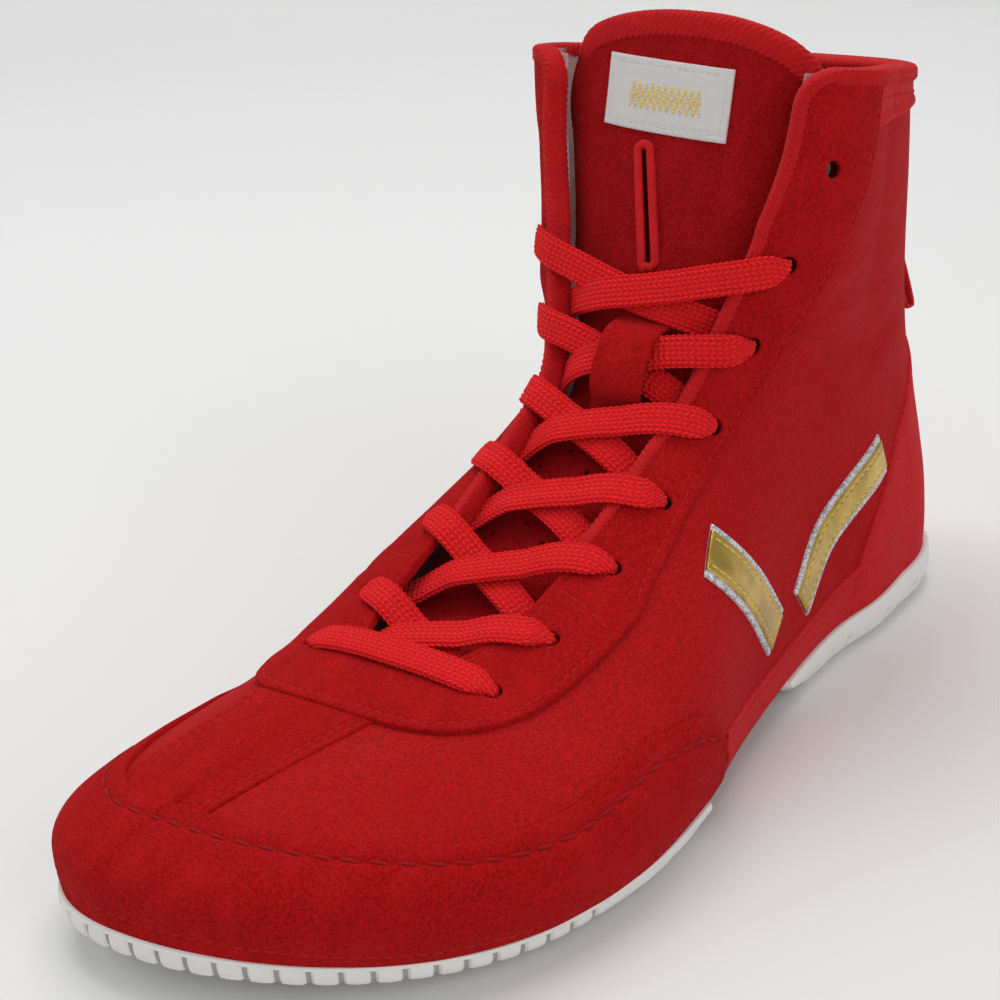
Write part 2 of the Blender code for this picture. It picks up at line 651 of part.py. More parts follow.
def build_bands():
    lines = {
        "saddle": (smooth_curve((0, 141), (0.5, 127), (1, 116)),
                   smooth_curve((0, 59), (0.5, 43), (1, 28)), SADDLE_BAND),
        "heel": (smooth_curve((0, 99), (0.5, 80), (1, 52)),
                 smooth_curve((0, 28), (0.5, 42), (1, 52)), HEEL_BAND),
    }
    for name, (line_t, line_z, width) in lines.items():
        for kind, half, layer, colour in (("band", width / 2 - BAND_MARGIN, BAND, GOLD),
                                          ("edging", width / 2, EDGING, WHITE)):
            def place(f, c):
                t, z = line_t(f), line_z(f)
                along_t, along_z = line_t(f + 0.01) - line_t(f - 0.01), line_z(f + 0.01) - line_z(f - 0.01)
                size = np.hypot(along_t, along_z)
                across = (2 * c - 1) * half
                return side_point(t - along_z / size * across, z + along_t / size * across)
            gloss = 0.25 if kind == "band" else 0.6
            sheet(name + "_" + kind, place, np.linspace(0.02, 0.98, 9), even(2), layer, colour, gloss,
                  0.6 if kind == "band" else 0.0)


# Tongue
S_TONGUE_TOP = s_at_z(TONGUE_HEIGHT)
tongue_half = smooth_curve((s_at_t(202), 19), (S_PATCH, 27), (s_at_t(130), 33), (s_at_z(100), 38),
                           (s_at_z(130), 42), (s_at_z(150), 45.5), (S_TONGUE_TOP, 46))


def tongue_place(first, trim_sides, trim_top):
    def place(f, c):
        way = 2 * c - 1
        last = S_TONGUE_TOP - trim_top - TONGUE_ARCH * np.abs(way) ** 2.3
        s = first + (last - first) * f
        return wrap(s, way * (tongue_half(s) - trim_sides))
    return place


def build_tongue():
    tongue = sheet("tongue", tongue_place(s_at_t(202), 0, 0), even(16), even(6), TONGUE, DARK_RED, 0.9)
    low, high = s_at_z(SLOT_LOW), s_at_z(SLOT_HIGH)
    corners = ((low, SLOT_SHIFTS[0], -1), (low, SLOT_SHIFTS[0], 1),
               (high, SLOT_SHIFTS[1], 1), (high, SLOT_SHIFTS[1], -1))
    slot = np.array([wrap(s, shift + way * SLOT_HALF) for s, shift, way in corners])
    cut(tongue, [(slot, normal(slot.mean(0)))], 14.0)
    sheet("tongue_lining", tongue_place(s_at_t(202), 2, 2), even(16), even(6), TONGUE_LINING, PINK, 0.9)

    def binding(f, c):
        way = 2 * f - 1
        s = S_TONGUE_TOP + 0.5 + 2.2 * c - TONGUE_ARCH * np.abs(way) ** 2.3
        return wrap(s, way * tongue_half(s))
    sheet("tongue_binding", binding, even(14), even(1), (-11.8, -6.8), BRIGHT_RED, 0.85)

    label_low, label_high = s_at_z(LABEL_LOW), s_at_z(LABEL_HIGH)

    def label(f, c):
        return wrap(label_low + (label_high - label_low) * f, LABEL_SHIFT + (2 * c - 1) * LABEL_HALF)
    sheet("tongue_label", label, even(2), even(5), TONGUE_TRIM, WHITE, 0.7)

    def trim(f, c):
        angle = 2 * pi * f
        size = 2.4 + 1.8 * c
        middle, straight = s_at_z((SLOT_LOW + SLOT_HIGH) / 2), (s_at_z(SLOT_HIGH) - s_at_z(SLOT_LOW)) / 2
        s = middle + straight * np.sign(np.cos(angle)) + size * np.cos(angle)
        return wrap(s, np.interp(s, (low, high), SLOT_SHIFTS) + size * np.sin(angle))
    around = (np.arange(12) + 0.5) / 12
    sheet("lace_slot_trim", trim, around, even(1), TONGUE_TRIM, BRIGHT_RED, 0.5, closed=True)

    keeper_low, keeper_high = s_at_z(KEEPER_LOW), s_at_z(KEEPER_HIGH)

    def keeper(f, c):
        return wrap(keeper_low + (keeper_high - keeper_low) * f, KEEPER_SHIFT + (2 * c - 1) * KEEPER_HALF)
    sheet("lace_keeper", keeper, even(3), even(2), TONGUE_TRIM, DARK_RED, 0.9)


# Lace: one ribbon through the eyelets. Each run starts under the flap of its lower eyelet, comes up
# through the throat and crosses over the other flap into its upper eyelet from outside.
def run_points(lower, upper, side):
    """(s, w, height) from inside the lower eyelet, on the given side, to outside the upper one."""
    s0, w0 = EYELET_S[lower], side * EYELET_W[lower]
    s1, w1 = EYELET_S[upper], -side * EYELET_W[upper]
    level = LACE_CROSS_TOP if side < 0 else LACE_CROSS_LOW
    edge = EYELET_INSET / abs(w1 - w0)
    profile = ((0, LACE_INSIDE), (0.5 * edge, LACE_INSIDE), (1.15 * edge, LACE_INSIDE + 0.7), (0.33, level),
               (0.67, level), (1 - 1.2 * edge, LACE_OVER + 0.6), (1 - 0.8 * edge, LACE_OVER + 0.3),
               (1 - 0.4 * edge, LACE_OVER), (1, LACE_OVER))
    knots = np.array([(s0 + (s1 - s0) * u, w0 + (w1 - w0) * u, height) for u, height in profile])
    points = [knots[0]]
    for start, end in zip(knots, knots[1:]):
        steps = int(np.ceil(np.linalg.norm(end - start) / LACE_STEP))
        points.extend(start + (end - start) * (k + 1) / steps for k in range(steps))
    return [tuple(point) for point in points]


def lace_path():
    """The whole lace as (s, w, height), from one tucked end to the other."""
    path = []
    for start_side in (1, -1):
        half = []
        side, upper = start_side, LACED - 1
        half.append((EYELET_S[upper] + 12, start_side * (EYELET_W[upper] + 2), LACE_INSIDE))
        half.append((EYELET_S[upper] + 5, start_side * (EYELET_W[upper] + 1), LACE_INSIDE))
        half.append((EYELET_S[upper], side * EYELET_W[upper], LACE_INSIDE))
        while upper > 0:
            half.extend(run_points(upper - 1, upper, -side)[::-1])
            upper, side = upper - 1, -side
        path.append((half, side))
    (first, side), (second, _) = path
    bar = [(EYELET_S[0] - 0.6 * np.sin(pi * u), side * EYELET_W[0] * (1 - 2 * u), LACE_OVER + 0.2)
           for u in np.linspace(0, 1, 7)]
    return first + bar + second[::-1]


def build_lace():
    path = lace_path()
    spots = np.array([(s, w) for s, w, _ in path])
    heights = np.array([height for _, _, height in path])
    base = wrap(spots[:, 0], spots[:, 1])
    out = normal(base)
    points = base + out * heights[:, None]
    keep = [0] + [k for k in range(1, len(points)) if np.linalg.norm(points[k] - points[k - 1]) > 0.3]
    points, out, spots = points[keep], out[keep], spots[keep]
    rings = []
    for k in range(len(points)):
        before, after = points[max(k - 1, 0)], points[min(k + 1, len(points) - 1)]
        tangent = (after - before) / np.linalg.norm(after - before)
        away = np.hypot(EYELET_S - spots[k, 0], EYELET_W - abs(spots[k, 1]))
        in_hole = away.min() < 0.5
        flat = wrap(spots[k, 0] + 0.5, spots[k, 1]) - wrap(spots[k, 0] - 0.5, spots[k, 1])
        way = tangent - out[k] * (tangent @ out[k])
        if in_hole or np.linalg.norm(way) < 0.3:
            across = flat / np.linalg.norm(flat)
        else:
            across = np.cross(out[k], way / np.linalg.norm(way))
            across = across * np.sign(across @ flat)
        thick = np.cross(tangent, across)
        thick = thick / np.linalg.norm(thick)
        across = np.cross(thick, tangent)
        half = (LACE_PINCH if in_hole else LACE_WIDTH) / 2
        rings.append([points[k] + across * a * half + thick * b * LACE_THICK / 2
                      for a, b in ((-1, -1), (1, -1), (1, 1), (-1, 1))])
    loft("lace", rings, BRIGHT_RED, 0.85)
    for name, end, away in (("lateral", 0, 1), ("medial", -1, -2)):
        way = points[end] - points[away]
        way = way / np.linalg.norm(way)
        corners = np.array(rings[end])
        middle = corners.mean(0)
        small = middle + (corners - middle) * np.array([0.45])
        tip = [small + way * 0.4, small + way * 16]
        loft("aglet_" + name, tip, WHITE, 0.3)


# Sole and insoles
def outline(first, last, count, grow, height):
    """Loop at the feather line between two t, lateral side forward then medial side back."""
    if first is None:
        q = np.concatenate([np.linspace(0, Q_TIP, count + 1), np.linspace(Q_TIP, Q_END, count + 1)[1:-1]])
    elif last is None:
        q = np.concatenate([np.linspace(q_at_t(first, 1), Q_TIP, count + 1),
                            np.linspace(Q_TIP, q_at_t(first, -1), count + 1)[1:]])
    else:
        start, end = q_at_t(last, 1), q_at_t(last, -1) - Q_END
        q = np.linspace(start, end, 2 * count + 1)
    points = rim(q, 0.0)
    out = normal(points)
    out[:, 2] = 0
    out = out / np.linalg.norm(out, axis=1, keepdims=True)
    points = points + out * grow
    points[:, 2] = height(points[:, 1])
    return points


def zip_faces(bm, line, upward):
    """Fills a loop with cross strips between its two sides."""
    count = len(line)
    low, high = 0, count - 1
    while high - low > 2:
        face = (line[low], line[low + 1], line[high - 1], line[high])
        bm.faces.new(face if upward else face[::-1])
        low, high = low + 1, high - 1
    face = line[low:high + 1]
    if len(face) > 2:
        bm.faces.new(face if upward else face[::-1])


def plate(name, loops, colour, roughness, whole=False):
    """A solid through stacked loops, zipped shut below and above."""
    bm = bmesh.new()
    lines = [[bm.verts.new(point) for point in world(loop)] for loop in loops]
    for first, second in zip(lines, lines[1:]):
        for k in range(len(first)):
            n = (k + 1) % len(first)
            bm.faces.new((first[k], first[n], second[n], second[k]))
    for line, upward in ((lines[0], False), (lines[-1], True)):
        if whole:
            line = line[1:] + line[:1]
            tip = line[-1]
            bm.faces.new((tip, line[0], line[-2]) if upward else (line[-2], line[0], tip))
            line = line[:-1]
        zip_faces(bm, line, upward)
    return finish(name, bm, colour, roughness)


def forefoot_ground(t):
    return 8.5 * (np.maximum(t - 222, 0) / 58) ** 2 + 3.5 * (np.maximum(178 - t, 0) / 15) ** 2


def heel_ground(t):
    return 5 * (np.maximum(t - 82, 0) / 23) ** 2 + 3 * (np.maximum(8 - t, 0) / 8) ** 2


def build_sole():
    # name, ends, ground line, outward steps of the tread and the wall, where the wall starts
    units = (("outsole_forefoot", FOREFOOT_END, None, forefoot_ground, -9.0, 1.2, 0.62),
             ("outsole_heel", 0, HEEL_END, heel_ground, -3.0, 0.4, 0.16))
    for name, first, last, ground, tread_grow, wall_grow, wall_foot in units:
        count = 20 if last is None else 16
        loops = [outline(first, last, count, tread_grow, ground),
                 outline(first, last, count, wall_grow,
                         lambda t: ground(t) + wall_foot * (feather(t) - ground(t))),
                 outline(first, last, count, 1.6, lambda t: feather(t) - SOLE_GAP)]
        plate(name, loops, WHITE, 0.6)

    first, last = HEEL_END + 0.8, FOREFOOT_END - 0.8
    rows = []
    for t in np.linspace(first, last, 6):
        left, right = rim(q_at_t(t, -1), 0.0), rim(q_at_t(t, 1), 0.0)
        top = feather(t) - SOLE_GAP
        rows.append([(left[0], t, top), (right[0], t, top), (right[0] - 3, t, top - 2.2),
                     (left[0] + 3, t, top - 2.2)])
    loft("arch_underside", rows, RED, 0.8)

    # name, how far inside the feather line, and heights above it
    stack = (("insole_board", -7.5, 1.0, 2.6), ("sock_liner", -9.0, 3.2, 6.2))
    for name, grow, low, high in stack:
        loops = [outline(None, None, 22, grow, lambda t: feather(t) + low),
                 outline(None, None, 22, grow, lambda t: feather(t) + high)]
        plate(name, loops, GREY if name == "insole_board" else PINK, 0.9, whole=True)


def build_heel_pad():
    rows = []
    for t in np.linspace(12, 74, 8):
        half = 15.5 * np.sqrt(1 - ((t - 43) / 33) ** 2)
        rows.append([(-half, t, feather(t) + 6.8), (half, t, feather(t) + 6.8),
                     (half * 0.9, t, feather(t) + 8.8), (-half * 0.9, t, feather(t) + 8.8)])
    loft("heel_pad", rows, GREY, 0.9)


def build():
    for old in list(bpy.data.objects):
        bpy.data.objects.remove(old, do_unlink=True)
    build_sole()
    build_heel_pad()
    build_quarters()
    build_toe()
    build_throat_patch()
    build_eyestays()
    build_bindings()
    build_heel()
    build_foxing()
    build_bands()
    build_tongue()
    build_lace()


build()
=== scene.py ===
"""Looks of the left boxing boot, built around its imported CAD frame.

World frame: metres, +Z up, toe towards -Y, outer (lateral) side towards +X.
The functions work in millimetres as (x, t, z): t is the distance forward of the heel's back.
"""
import json
from math import pi

import bpy
import bmesh
import numpy as np
from mathutils import Matrix, Vector

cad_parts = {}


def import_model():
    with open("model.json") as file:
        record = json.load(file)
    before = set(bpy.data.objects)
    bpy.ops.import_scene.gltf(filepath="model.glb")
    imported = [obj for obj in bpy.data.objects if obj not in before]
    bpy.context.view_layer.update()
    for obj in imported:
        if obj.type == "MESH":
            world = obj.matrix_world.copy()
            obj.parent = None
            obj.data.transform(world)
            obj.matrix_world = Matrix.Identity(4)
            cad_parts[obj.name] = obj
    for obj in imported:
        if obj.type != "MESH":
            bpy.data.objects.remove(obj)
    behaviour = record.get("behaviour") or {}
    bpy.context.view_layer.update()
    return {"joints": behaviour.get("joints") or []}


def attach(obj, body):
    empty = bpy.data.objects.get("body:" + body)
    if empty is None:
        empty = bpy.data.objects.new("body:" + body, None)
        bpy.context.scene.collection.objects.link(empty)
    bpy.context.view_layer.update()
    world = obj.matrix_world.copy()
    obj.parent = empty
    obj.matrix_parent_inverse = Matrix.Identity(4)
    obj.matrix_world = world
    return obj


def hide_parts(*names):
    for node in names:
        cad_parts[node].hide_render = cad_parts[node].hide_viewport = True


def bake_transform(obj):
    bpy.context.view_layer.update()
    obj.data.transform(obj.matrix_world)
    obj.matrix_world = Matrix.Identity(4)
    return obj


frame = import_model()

MM = 0.001
LENGTH = 280.0                 # heel back to toe tip
HEEL_BACK = 36.0               # origin to heel back
TOE_LENGTH = 66.0              # stretch over which the toe closes
TOE_CENTRE = 235.0
HEEL_CENTRE = 42.0
ANKLE_PIVOT = (160.0, 125.0)   # (t, z) about which the ankle sections fan
ANKLE_REACH = 98.0
COLLAR_HEIGHT = 161.5
COLLAR_SLANT = 0.18
TONGUE_HEIGHT = 172.0
TONGUE_ARCH = 13.0
THROAT_BOTTOM = 204.0
PATCH_REAR = 166.0
THROAT_HALF = 17.5
CORNER_RADIUS = 8.0
EYELETS = 8
LACED = 7
EYELET_FIRST = 201.0
EYELET_LAST = 138.0
EYELET_INSET = 9.5
EYELET_SHIFTS = (-0.8, -1.0, 4.0, 4.8, 5.8, 2.6, -1.2, 0)   # of each eyelet up from even spacing
FOREFOOT_END = 163.0
HEEL_END = 105.0
GUARD_END = 152.0
HEEL_COVER_END = 69.0
VAMP_SPLIT = 185.0             # t where the front and rear halves of a long panel meet
TONGUE_SPLIT = 110.0           # z where the tongue's halves meet, under the top lace crossing
TONGUE_TOE = 202.0
VAMP_TOE = 263.0
VAMP_REACH, VAMP_HALF = 57.0, 36.0           # the opening between the sides, under the throat patch
PATCH_REACH, PATCH_HALF = 62.5, 41.5
STRIP_REAR = 217.0
PUFF_REACH, PUFF_HEIGHT = 85.0, 22.0
COUNTER_REACH, COUNTER_SHARE = 72.0, 0.75    # its height as a share of the heel cover's
BAND_LOW, BAND_EDGE = 146.0, 60.5            # z of the collar band's lower edge, w of its ends
FOAM_LOW, FOAM_EDGE = 131.0, 68.0            # the same for the collar foam
TAB_TOP, TAB_LOW, TAB_WIDTH = 105.0, 72.5, 20.0

LACE_WIDTH = 7.6
LACE_THICK = 1.5
THREAD = 0.3                   # radius of the sewing thread
OVERLAY = 1.25                 # thickness of the suede overlays
SUNK = -0.5                    # how far an overlay's underside lies in the panel below it
EYELET_RADIUS = 2.1
# Heights of the lower layers' two faces over the boot's surface
QUARTER_LAYER = (0.0, -1.2)
BACKER_LAYER = (-1.9, -3.2)
PUFF_LAYER = (-2.2, -3.6)
FOAM_LAYER = (-2.4, -3.6)
COUNTER_LAYER = (-2.9, -4.0)
LINING_LAYER = (-3.5, -4.3)

joints = {joint["name"]: joint for joint in frame["joints"]}
STEP = 1.5


# ---------------------------------------------------------------- shape of the boot
def smooth_curve(*points):
    """A smooth function through (x, y) points, constant beyond its ends."""
    xs, ys = np.array(points, float).T
    slopes = np.gradient(ys, xs)

    def value(x):
        x = np.clip(x, xs[0], xs[-1])
        i = np.clip(np.searchsorted(xs, x) - 1, 0, len(xs) - 2)
        step = xs[i + 1] - xs[i]
        u = (x - xs[i]) / step
        start = (1 + 2 * u) * (1 - u) ** 2 * ys[i] + u * (1 - u) ** 2 * step * slopes[i]
        end = u * u * (3 - 2 * u) * ys[i + 1] + u * u * (u - 1) * step * slopes[i + 1]
        return start + end
    return value


centre = smooth_curve((0, 0), (120, 0), (165, -2), (205, -8), (245, -17), (280, -24))
lateral_half = smooth_curve((0, 29.5), (40, 30.5), (90, 33), (130, 41.5), (165, 53), (195, 60.5),
                            (220, 63), (250, 63.5), (280, 63))
medial_half = smooth_curve((0, 30), (40, 31), (90, 30), (130, 35), (165, 43.5), (190, 45.5),
                           (215, 44.5), (245, 42), (280, 44))
ridge = smooth_curve((0, 66), (60, 84), (90, 97), (110, 101), (130, 90), (150, 74.5), (170, 61.5),
                     (195, 49), (220, 42.5), (245, 39), (280, 37))
feather = smooth_curve((0, 12), (30, 11), (60, 10), (100, 8.5), (150, 7), (195, 6.5), (230, 7.5),
                       (280, 14.5))
widest = smooth_curve((0, 23), (150, 24), (200, 18), (245, 18), (280, 22))
roundness = smooth_curve((0, 2.4), (120, 2.1), (170, 2.0), (210, 2.3), (280, 2.5))
medial_roundness = smooth_curve((0, 2.4), (105, 2.1), (135, 2.5), (165, 2.8), (195, 2.5),
                                (225, 2.35), (280, 2.5))
leg_back = smooth_curve((8, 3.5), (18, 1.5), (30, 1.5), (45, 3), (65, 6), (90, 9.5), (120, 12), (150, 13),
                        (175, 12), (190, 11.5))
leg_front = smooth_curve((8, 72), (30, 84), (60, 112), (80, 121), (100, 121), (125, 112),
                         (150, 104), (175, 97), (190, 93))
leg_lateral = smooth_curve((8, 29.5), (30, 30), (60, 30.5), (85, 33.5), (110, 37), (150, 38), (190, 38.5))
leg_medial = smooth_curve((8, 29), (30, 31.5), (60, 32), (85, 34.5), (108, 36), (130, 39), (150, 43),
                          (175, 46.5), (190, 48))
leg_taper = smooth_curve((8, 0), (50, 0), (85, 0.2), (110, 0.36), (150, 0.42), (190, 0.42))


def foot_distance(x, t, z):
    """Roughly the distance outside the foot, negative inside it."""
    run = np.clip((t - (LENGTH - TOE_LENGTH)) / TOE_LENGTH, 0, 1)
    side = x - centre(t)
    closing = np.maximum(np.sqrt(1 - run ** np.where(side > 0, 2.5, 3.0)), 0.001)
    half = np.where(side > 0, lateral_half(t), medial_half(t)) * closing
    wide, low = widest(t), feather(t)
    up = np.maximum(z - wide, 0) / ((ridge(t) - wide) * closing ** 0.9)
    down = np.maximum(wide - z, 0) / (wide - low)
    tuck = np.maximum(1 - 0.07 * down ** 2, 0.05)
    power = np.where(side > 0, roundness(t), medial_roundness(t))
    radius = ((np.abs(side) / (half * tuck)) ** power + up ** power) ** (1 / power)
    fade = np.maximum(60 - t, 0) ** 2 / 60
    return np.where(t > LENGTH, 50, (radius - 1) * np.minimum(half, 45)) + fade


def leg_distance(x, t, z):
    back, front = leg_back(z), leg_front(z)
    forward = (t - (back + front) / 2) / ((front - back) / 2)
    spread = leg_taper(z) * (np.clip(forward, 0, 1.2) + 0.5 * np.clip(forward, -1, 0))
    half = np.where(x > 0, leg_lateral(z), leg_medial(z)) * (1 + spread)
    radius = (np.abs(x / half) ** 2.4 + np.abs(forward) ** 2.4) ** (1 / 2.4)
    return (radius - 1) * half


def outside(points):
    """Distance outside the whole boot: the foot and the leg, blended at the ankle."""
    x, t, z = np.moveaxis(points, -1, 0)
    foot, leg, blend = foot_distance(x, t, z), leg_distance(x, t, z), 12.0
    return np.minimum(foot, leg) - np.maximum(blend - np.abs(foot - leg), 0) ** 2 / (4 * blend)


def hit(origin, direction, reach=200.0):
    """Where rays from inside the boot leave its surface."""
    origin, direction = np.broadcast_arrays(np.asarray(origin, float), np.asarray(direction, float))
    near, far = np.zeros(origin.shape[:-1]), np.full(origin.shape[:-1], reach)
    for _ in range(26):
        middle = (near + far) / 2
        inside = outside(origin + direction * middle[..., None]) < 0
        near, far = np.where(inside, middle, near), np.where(inside, far, middle)
    return origin + direction * near[..., None]


def slope(points, step=0.5):
    parts = []
    for axis in range(3):
        shift = np.zeros(3)
        shift[axis] = step
        parts.append((outside(points + shift) - outside(points - shift)) / (2 * step))
    return np.stack(parts, -1)


def unit(vectors):
    return vectors / np.maximum(np.linalg.norm(vectors, axis=-1, keepdims=True), 1e-9)


def skin(points):
    """The points brought exactly onto the boot's surface, and its outward directions there."""
    steepness = slope(points)
    gap = outside(points) / np.maximum((steepness ** 2).sum(-1), 0.2)
    points = points - steepness * np.clip(gap, -2, 2)[..., None]
    return points, unit(slope(points))


def running_length(points, axis):
    steps = np.linalg.norm(np.diff(points, axis=axis), axis=-1)
    start = np.zeros_like(np.take(steps, [0], axis=axis))
    return np.concatenate([start, np.cumsum(steps, axis=axis)], axis=axis)


class Chart:
    """Lines of surface points, read at a fractional line number and a length along the line."""
    STEP = 0.5

    def __init__(self, table, lengths):
        self.first = lengths.min()
        marks = np.arange(self.first, lengths.max() + self.STEP, self.STEP)
        lines = [[np.interp(marks, along, line[:, k]) for k in range(3)]
                 for line, along in zip(table, lengths)]
        self.points = np.moveaxis(np.array(lines), 1, 2)

    def __call__(self, row, length):
        rows, columns = self.points.shape[:2]
        row = np.clip(row, 0, rows - 1.001)
        column = np.clip((length - self.first) / self.STEP, 0, columns - 1.001)
        i, j = row.astype(int), column.astype(int)
        a, b = (row - i)[..., None], (column - j)[..., None]
        near = self.points[i, j] * (1 - b) + self.points[i, j + 1] * b
        far = self.points[i + 1, j] * (1 - b) + self.points[i + 1, j + 1] * b
        return near * (1 - a) + far * a


# Wrap coordinates: s runs along the top line from the toe to above the collar, w goes round from
# that line, positive on the lateral side.
def wrap_stations():
    origins, tops = [], []
    for t in np.linspace(272, ANKLE_PIVOT[0], 57)[:-1]:
        origins.append((centre(t), t, 26.0))
        tops.append((0, 0, 1))
    for angle in np.linspace(0, pi / 2, 61)[:-1]:
        t = ANKLE_PIVOT[0] - ANKLE_REACH * np.sin(angle)
        origins.append((centre(t), t, ANKLE_PIVOT[1] - ANKLE_REACH * np.cos(angle)))
        tops.append((0, np.sin(angle), np.cos(angle)))
    for z in np.linspace(ANKLE_PIVOT[1], 188, 32):
        slant = COLLAR_SLANT * min((z - ANKLE_PIVOT[1]) / 26, 1) ** 2
        origins.append((0, ANKLE_PIVOT[0] - ANKLE_REACH, z))
        tops.append((0, np.cos(slant), np.sin(slant)))
    return np.array(origins, float), np.array(tops, float)


TURN = np.linspace(-pi, pi, 241)
MIDDLE = 120                   # column of the top line
WRAP_ORIGINS, WRAP_TOPS = wrap_stations()
WRAP = hit(WRAP_ORIGINS[:, None], WRAP_TOPS[:, None] * np.cos(TURN)[:, None]
           + np.array([1.0, 0, 0]) * np.sin(TURN)[:, None])
WRAP_W = running_length(WRAP, 1)
WRAP_W = WRAP_W - WRAP_W[:, MIDDLE:MIDDLE + 1]
WRAP_S = running_length(WRAP[:, MIDDLE], 0)
WRAP_ROWS = np.arange(len(WRAP_S))
wrap_chart = Chart(WRAP, WRAP_W)


def s_at_t(t):
    """s where the top line, in front of the ankle, passes t."""
    return np.interp(-t, -WRAP[:80, MIDDLE, 1], WRAP_S[:80])


def s_at_z(z):
    """s where the top line, on the leg, passes z."""
    return np.interp(z, WRAP[60:, MIDDLE, 2], WRAP_S[60:])


def wrap(s, w):
    """Surface points at wrap coordinates; w past the back line carries on round the other side."""
    s, w = np.broadcast_arrays(np.asarray(s, float), np.asarray(w, float))
    row = np.interp(s, WRAP_S, WRAP_ROWS)
    lateral = np.interp(row, WRAP_ROWS, WRAP_W[:, -1])
    medial = np.interp(row, WRAP_ROWS, WRAP_W[:, 0])
    return wrap_chart(row, np.where(w > lateral, w - (lateral - medial), w))


def bottom_edges():
    """For each section, the w where a side reaches the feather line, or the back line."""
    edges = {1: [], -1: []}
    for points, lengths in zip(WRAP, WRAP_W):
        above = points[:, 2] - feather(points[:, 1]) - 0.5
        for side in (1, -1):
            column = MIDDLE
            while 0 < column < len(TURN) - 1 and above[column + side] > 0:
                column += side
            if column in (0, len(TURN) - 1):
                edges[side].append(abs(lengths[column]) - 0.2)
                continue
            part = above[column] / (above[column] - above[column + side])
            edges[side].append(abs(lengths[column] + part * (lengths[column + side] - lengths[column])))
    return {side: np.array(values) for side, values in edges.items()}


BOTTOM = bottom_edges()


def bottom_w(s, side):
    return np.interp(s, WRAP_S, BOTTOM[side])


# Rim coordinates: q runs round the feather line from the heel's back by the lateral side to the toe
# and home by the medial side, g goes up the surface from that line.
def rim_stations():
    """Points inside the boot and flat directions, from the heel's back round to it again."""
    back, front = (0, HEEL_CENTRE), (centre(TOE_CENTRE), TOE_CENTRE)
    quarter, half = np.linspace(0, pi / 2, 31), np.linspace(0, pi, 81)
    straight = np.linspace(HEEL_CENTRE, TOE_CENTRE, 80)
    stations = [(back, (np.sin(angle), -np.cos(angle))) for angle in quarter[:-1]]
    stations += [((centre(t), t), (1, 0)) for t in straight[:-1]]
    stations += [(front, (np.cos(angle), np.sin(angle))) for angle in half[:-1]]
    stations += [((centre(t), t), (-1, 0)) for t in straight[:0:-1]]
    stations += [(back, (-np.sin(angle), -np.cos(angle))) for angle in quarter[::-1]]
    origins, ways = zip(*stations)
    return np.array(origins, float), np.array(ways, float)


def rim_table():
    origins, ways = rim_stations()
    start = np.column_stack([origins, widest(origins[:, 1])])
    low, high = np.full(len(ways), -1.2), np.zeros(len(ways))
    for _ in range(24):
        middle = (low + high) / 2
        point = hit(start, np.column_stack([ways * np.cos(middle)[:, None], np.sin(middle)]))
        under = point[:, 2] < feather(point[:, 1])
        low, high = np.where(under, middle, low), np.where(under, high, middle)
    lines = []
    for part in np.linspace(0, 1, 61):
        rise = high + (1.48 - high) * part
        lines.append(hit(start, np.column_stack([ways * np.cos(rise)[:, None], np.sin(rise)])))
    return np.stack(lines, 1)


RIM = rim_table()
RIM_Q = running_length(RIM[:, 0], 0)
RIM_TIP = int(np.argmax(RIM[:, 0, 1]))
Q_TIP, Q_END = float(RIM_Q[RIM_TIP]), float(RIM_Q[-1])
rim_chart = Chart(RIM, running_length(RIM, 1))


def rim(q, g):
    q, g = np.broadcast_arrays(np.asarray(q, float), np.asarray(g, float))
    return rim_chart(np.interp(np.mod(q, Q_END), RIM_Q, np.arange(len(RIM_Q))), g)


def q_at_t(t, side):
    """q where the feather line passes t on one side."""
    if side > 0:
        return float(np.interp(t, RIM[:RIM_TIP, 0, 1], RIM_Q[:RIM_TIP]))
    return float(np.interp(-t, -RIM[RIM_TIP:, 0, 1], RIM_Q[RIM_TIP:]))


# ---------------------------------------------------------------- lines on the upper
S_PATCH = s_at_t(PATCH_REAR)
S_COLLAR = s_at_z(COLLAR_HEIGHT)
S_BOTTOM = s_at_t(THROAT_BOTTOM)
S_TONGUE_TOP = s_at_z(TONGUE_HEIGHT)
throat_upper = smooth_curve((S_PATCH, THROAT_HALF), (s_at_t(150), 18), (s_at_t(138), 18.5), (s_at_z(99), 22),
                            (s_at_z(121), 29), (s_at_z(140), 34), (S_COLLAR, 35.5))
stay_edge = smooth_curve((S_PATCH, 38.5), (s_at_t(155), 35.5), (s_at_t(139), 33.5), (s_at_z(95), 36.5),
                         (s_at_z(108), 44), (s_at_z(118), 51), (s_at_z(128), 58.5), (s_at_z(140), 61),
                         (S_COLLAR, 61))
overlap = smooth_curve((S_PATCH, 2.6), (s_at_t(138), 2.4), (s_at_z(121), 6), (S_COLLAR, 8))


def oval(s, forward, half):
    """Half width of a blunt oval that ends forward of the patch's rear line."""
    return half * np.cbrt(np.maximum(1 - (np.maximum(S_PATCH - s, 0) / forward) ** 3, 0))


def throat_edge(s):
    corner = np.clip(s - (S_COLLAR - CORNER_RADIUS), 0, CORNER_RADIUS)
    turn = CORNER_RADIUS - np.sqrt(CORNER_RADIUS ** 2 - corner ** 2)
    return np.where(s < S_PATCH, oval(s, S_PATCH - S_BOTTOM, THROAT_HALF), throat_upper(s)) + turn


def main_edge(s):
    return np.maximum(np.where(s < S_PATCH, oval(s, VAMP_REACH, VAMP_HALF), stay_edge(s) - overlap(s)), 0.25)


def lining_edge(s):
    front = oval(s, VAMP_REACH + 1, VAMP_HALF + 1)
    return np.maximum(np.where(s < S_PATCH, front, throat_upper(s) + 0.9), 0.4)


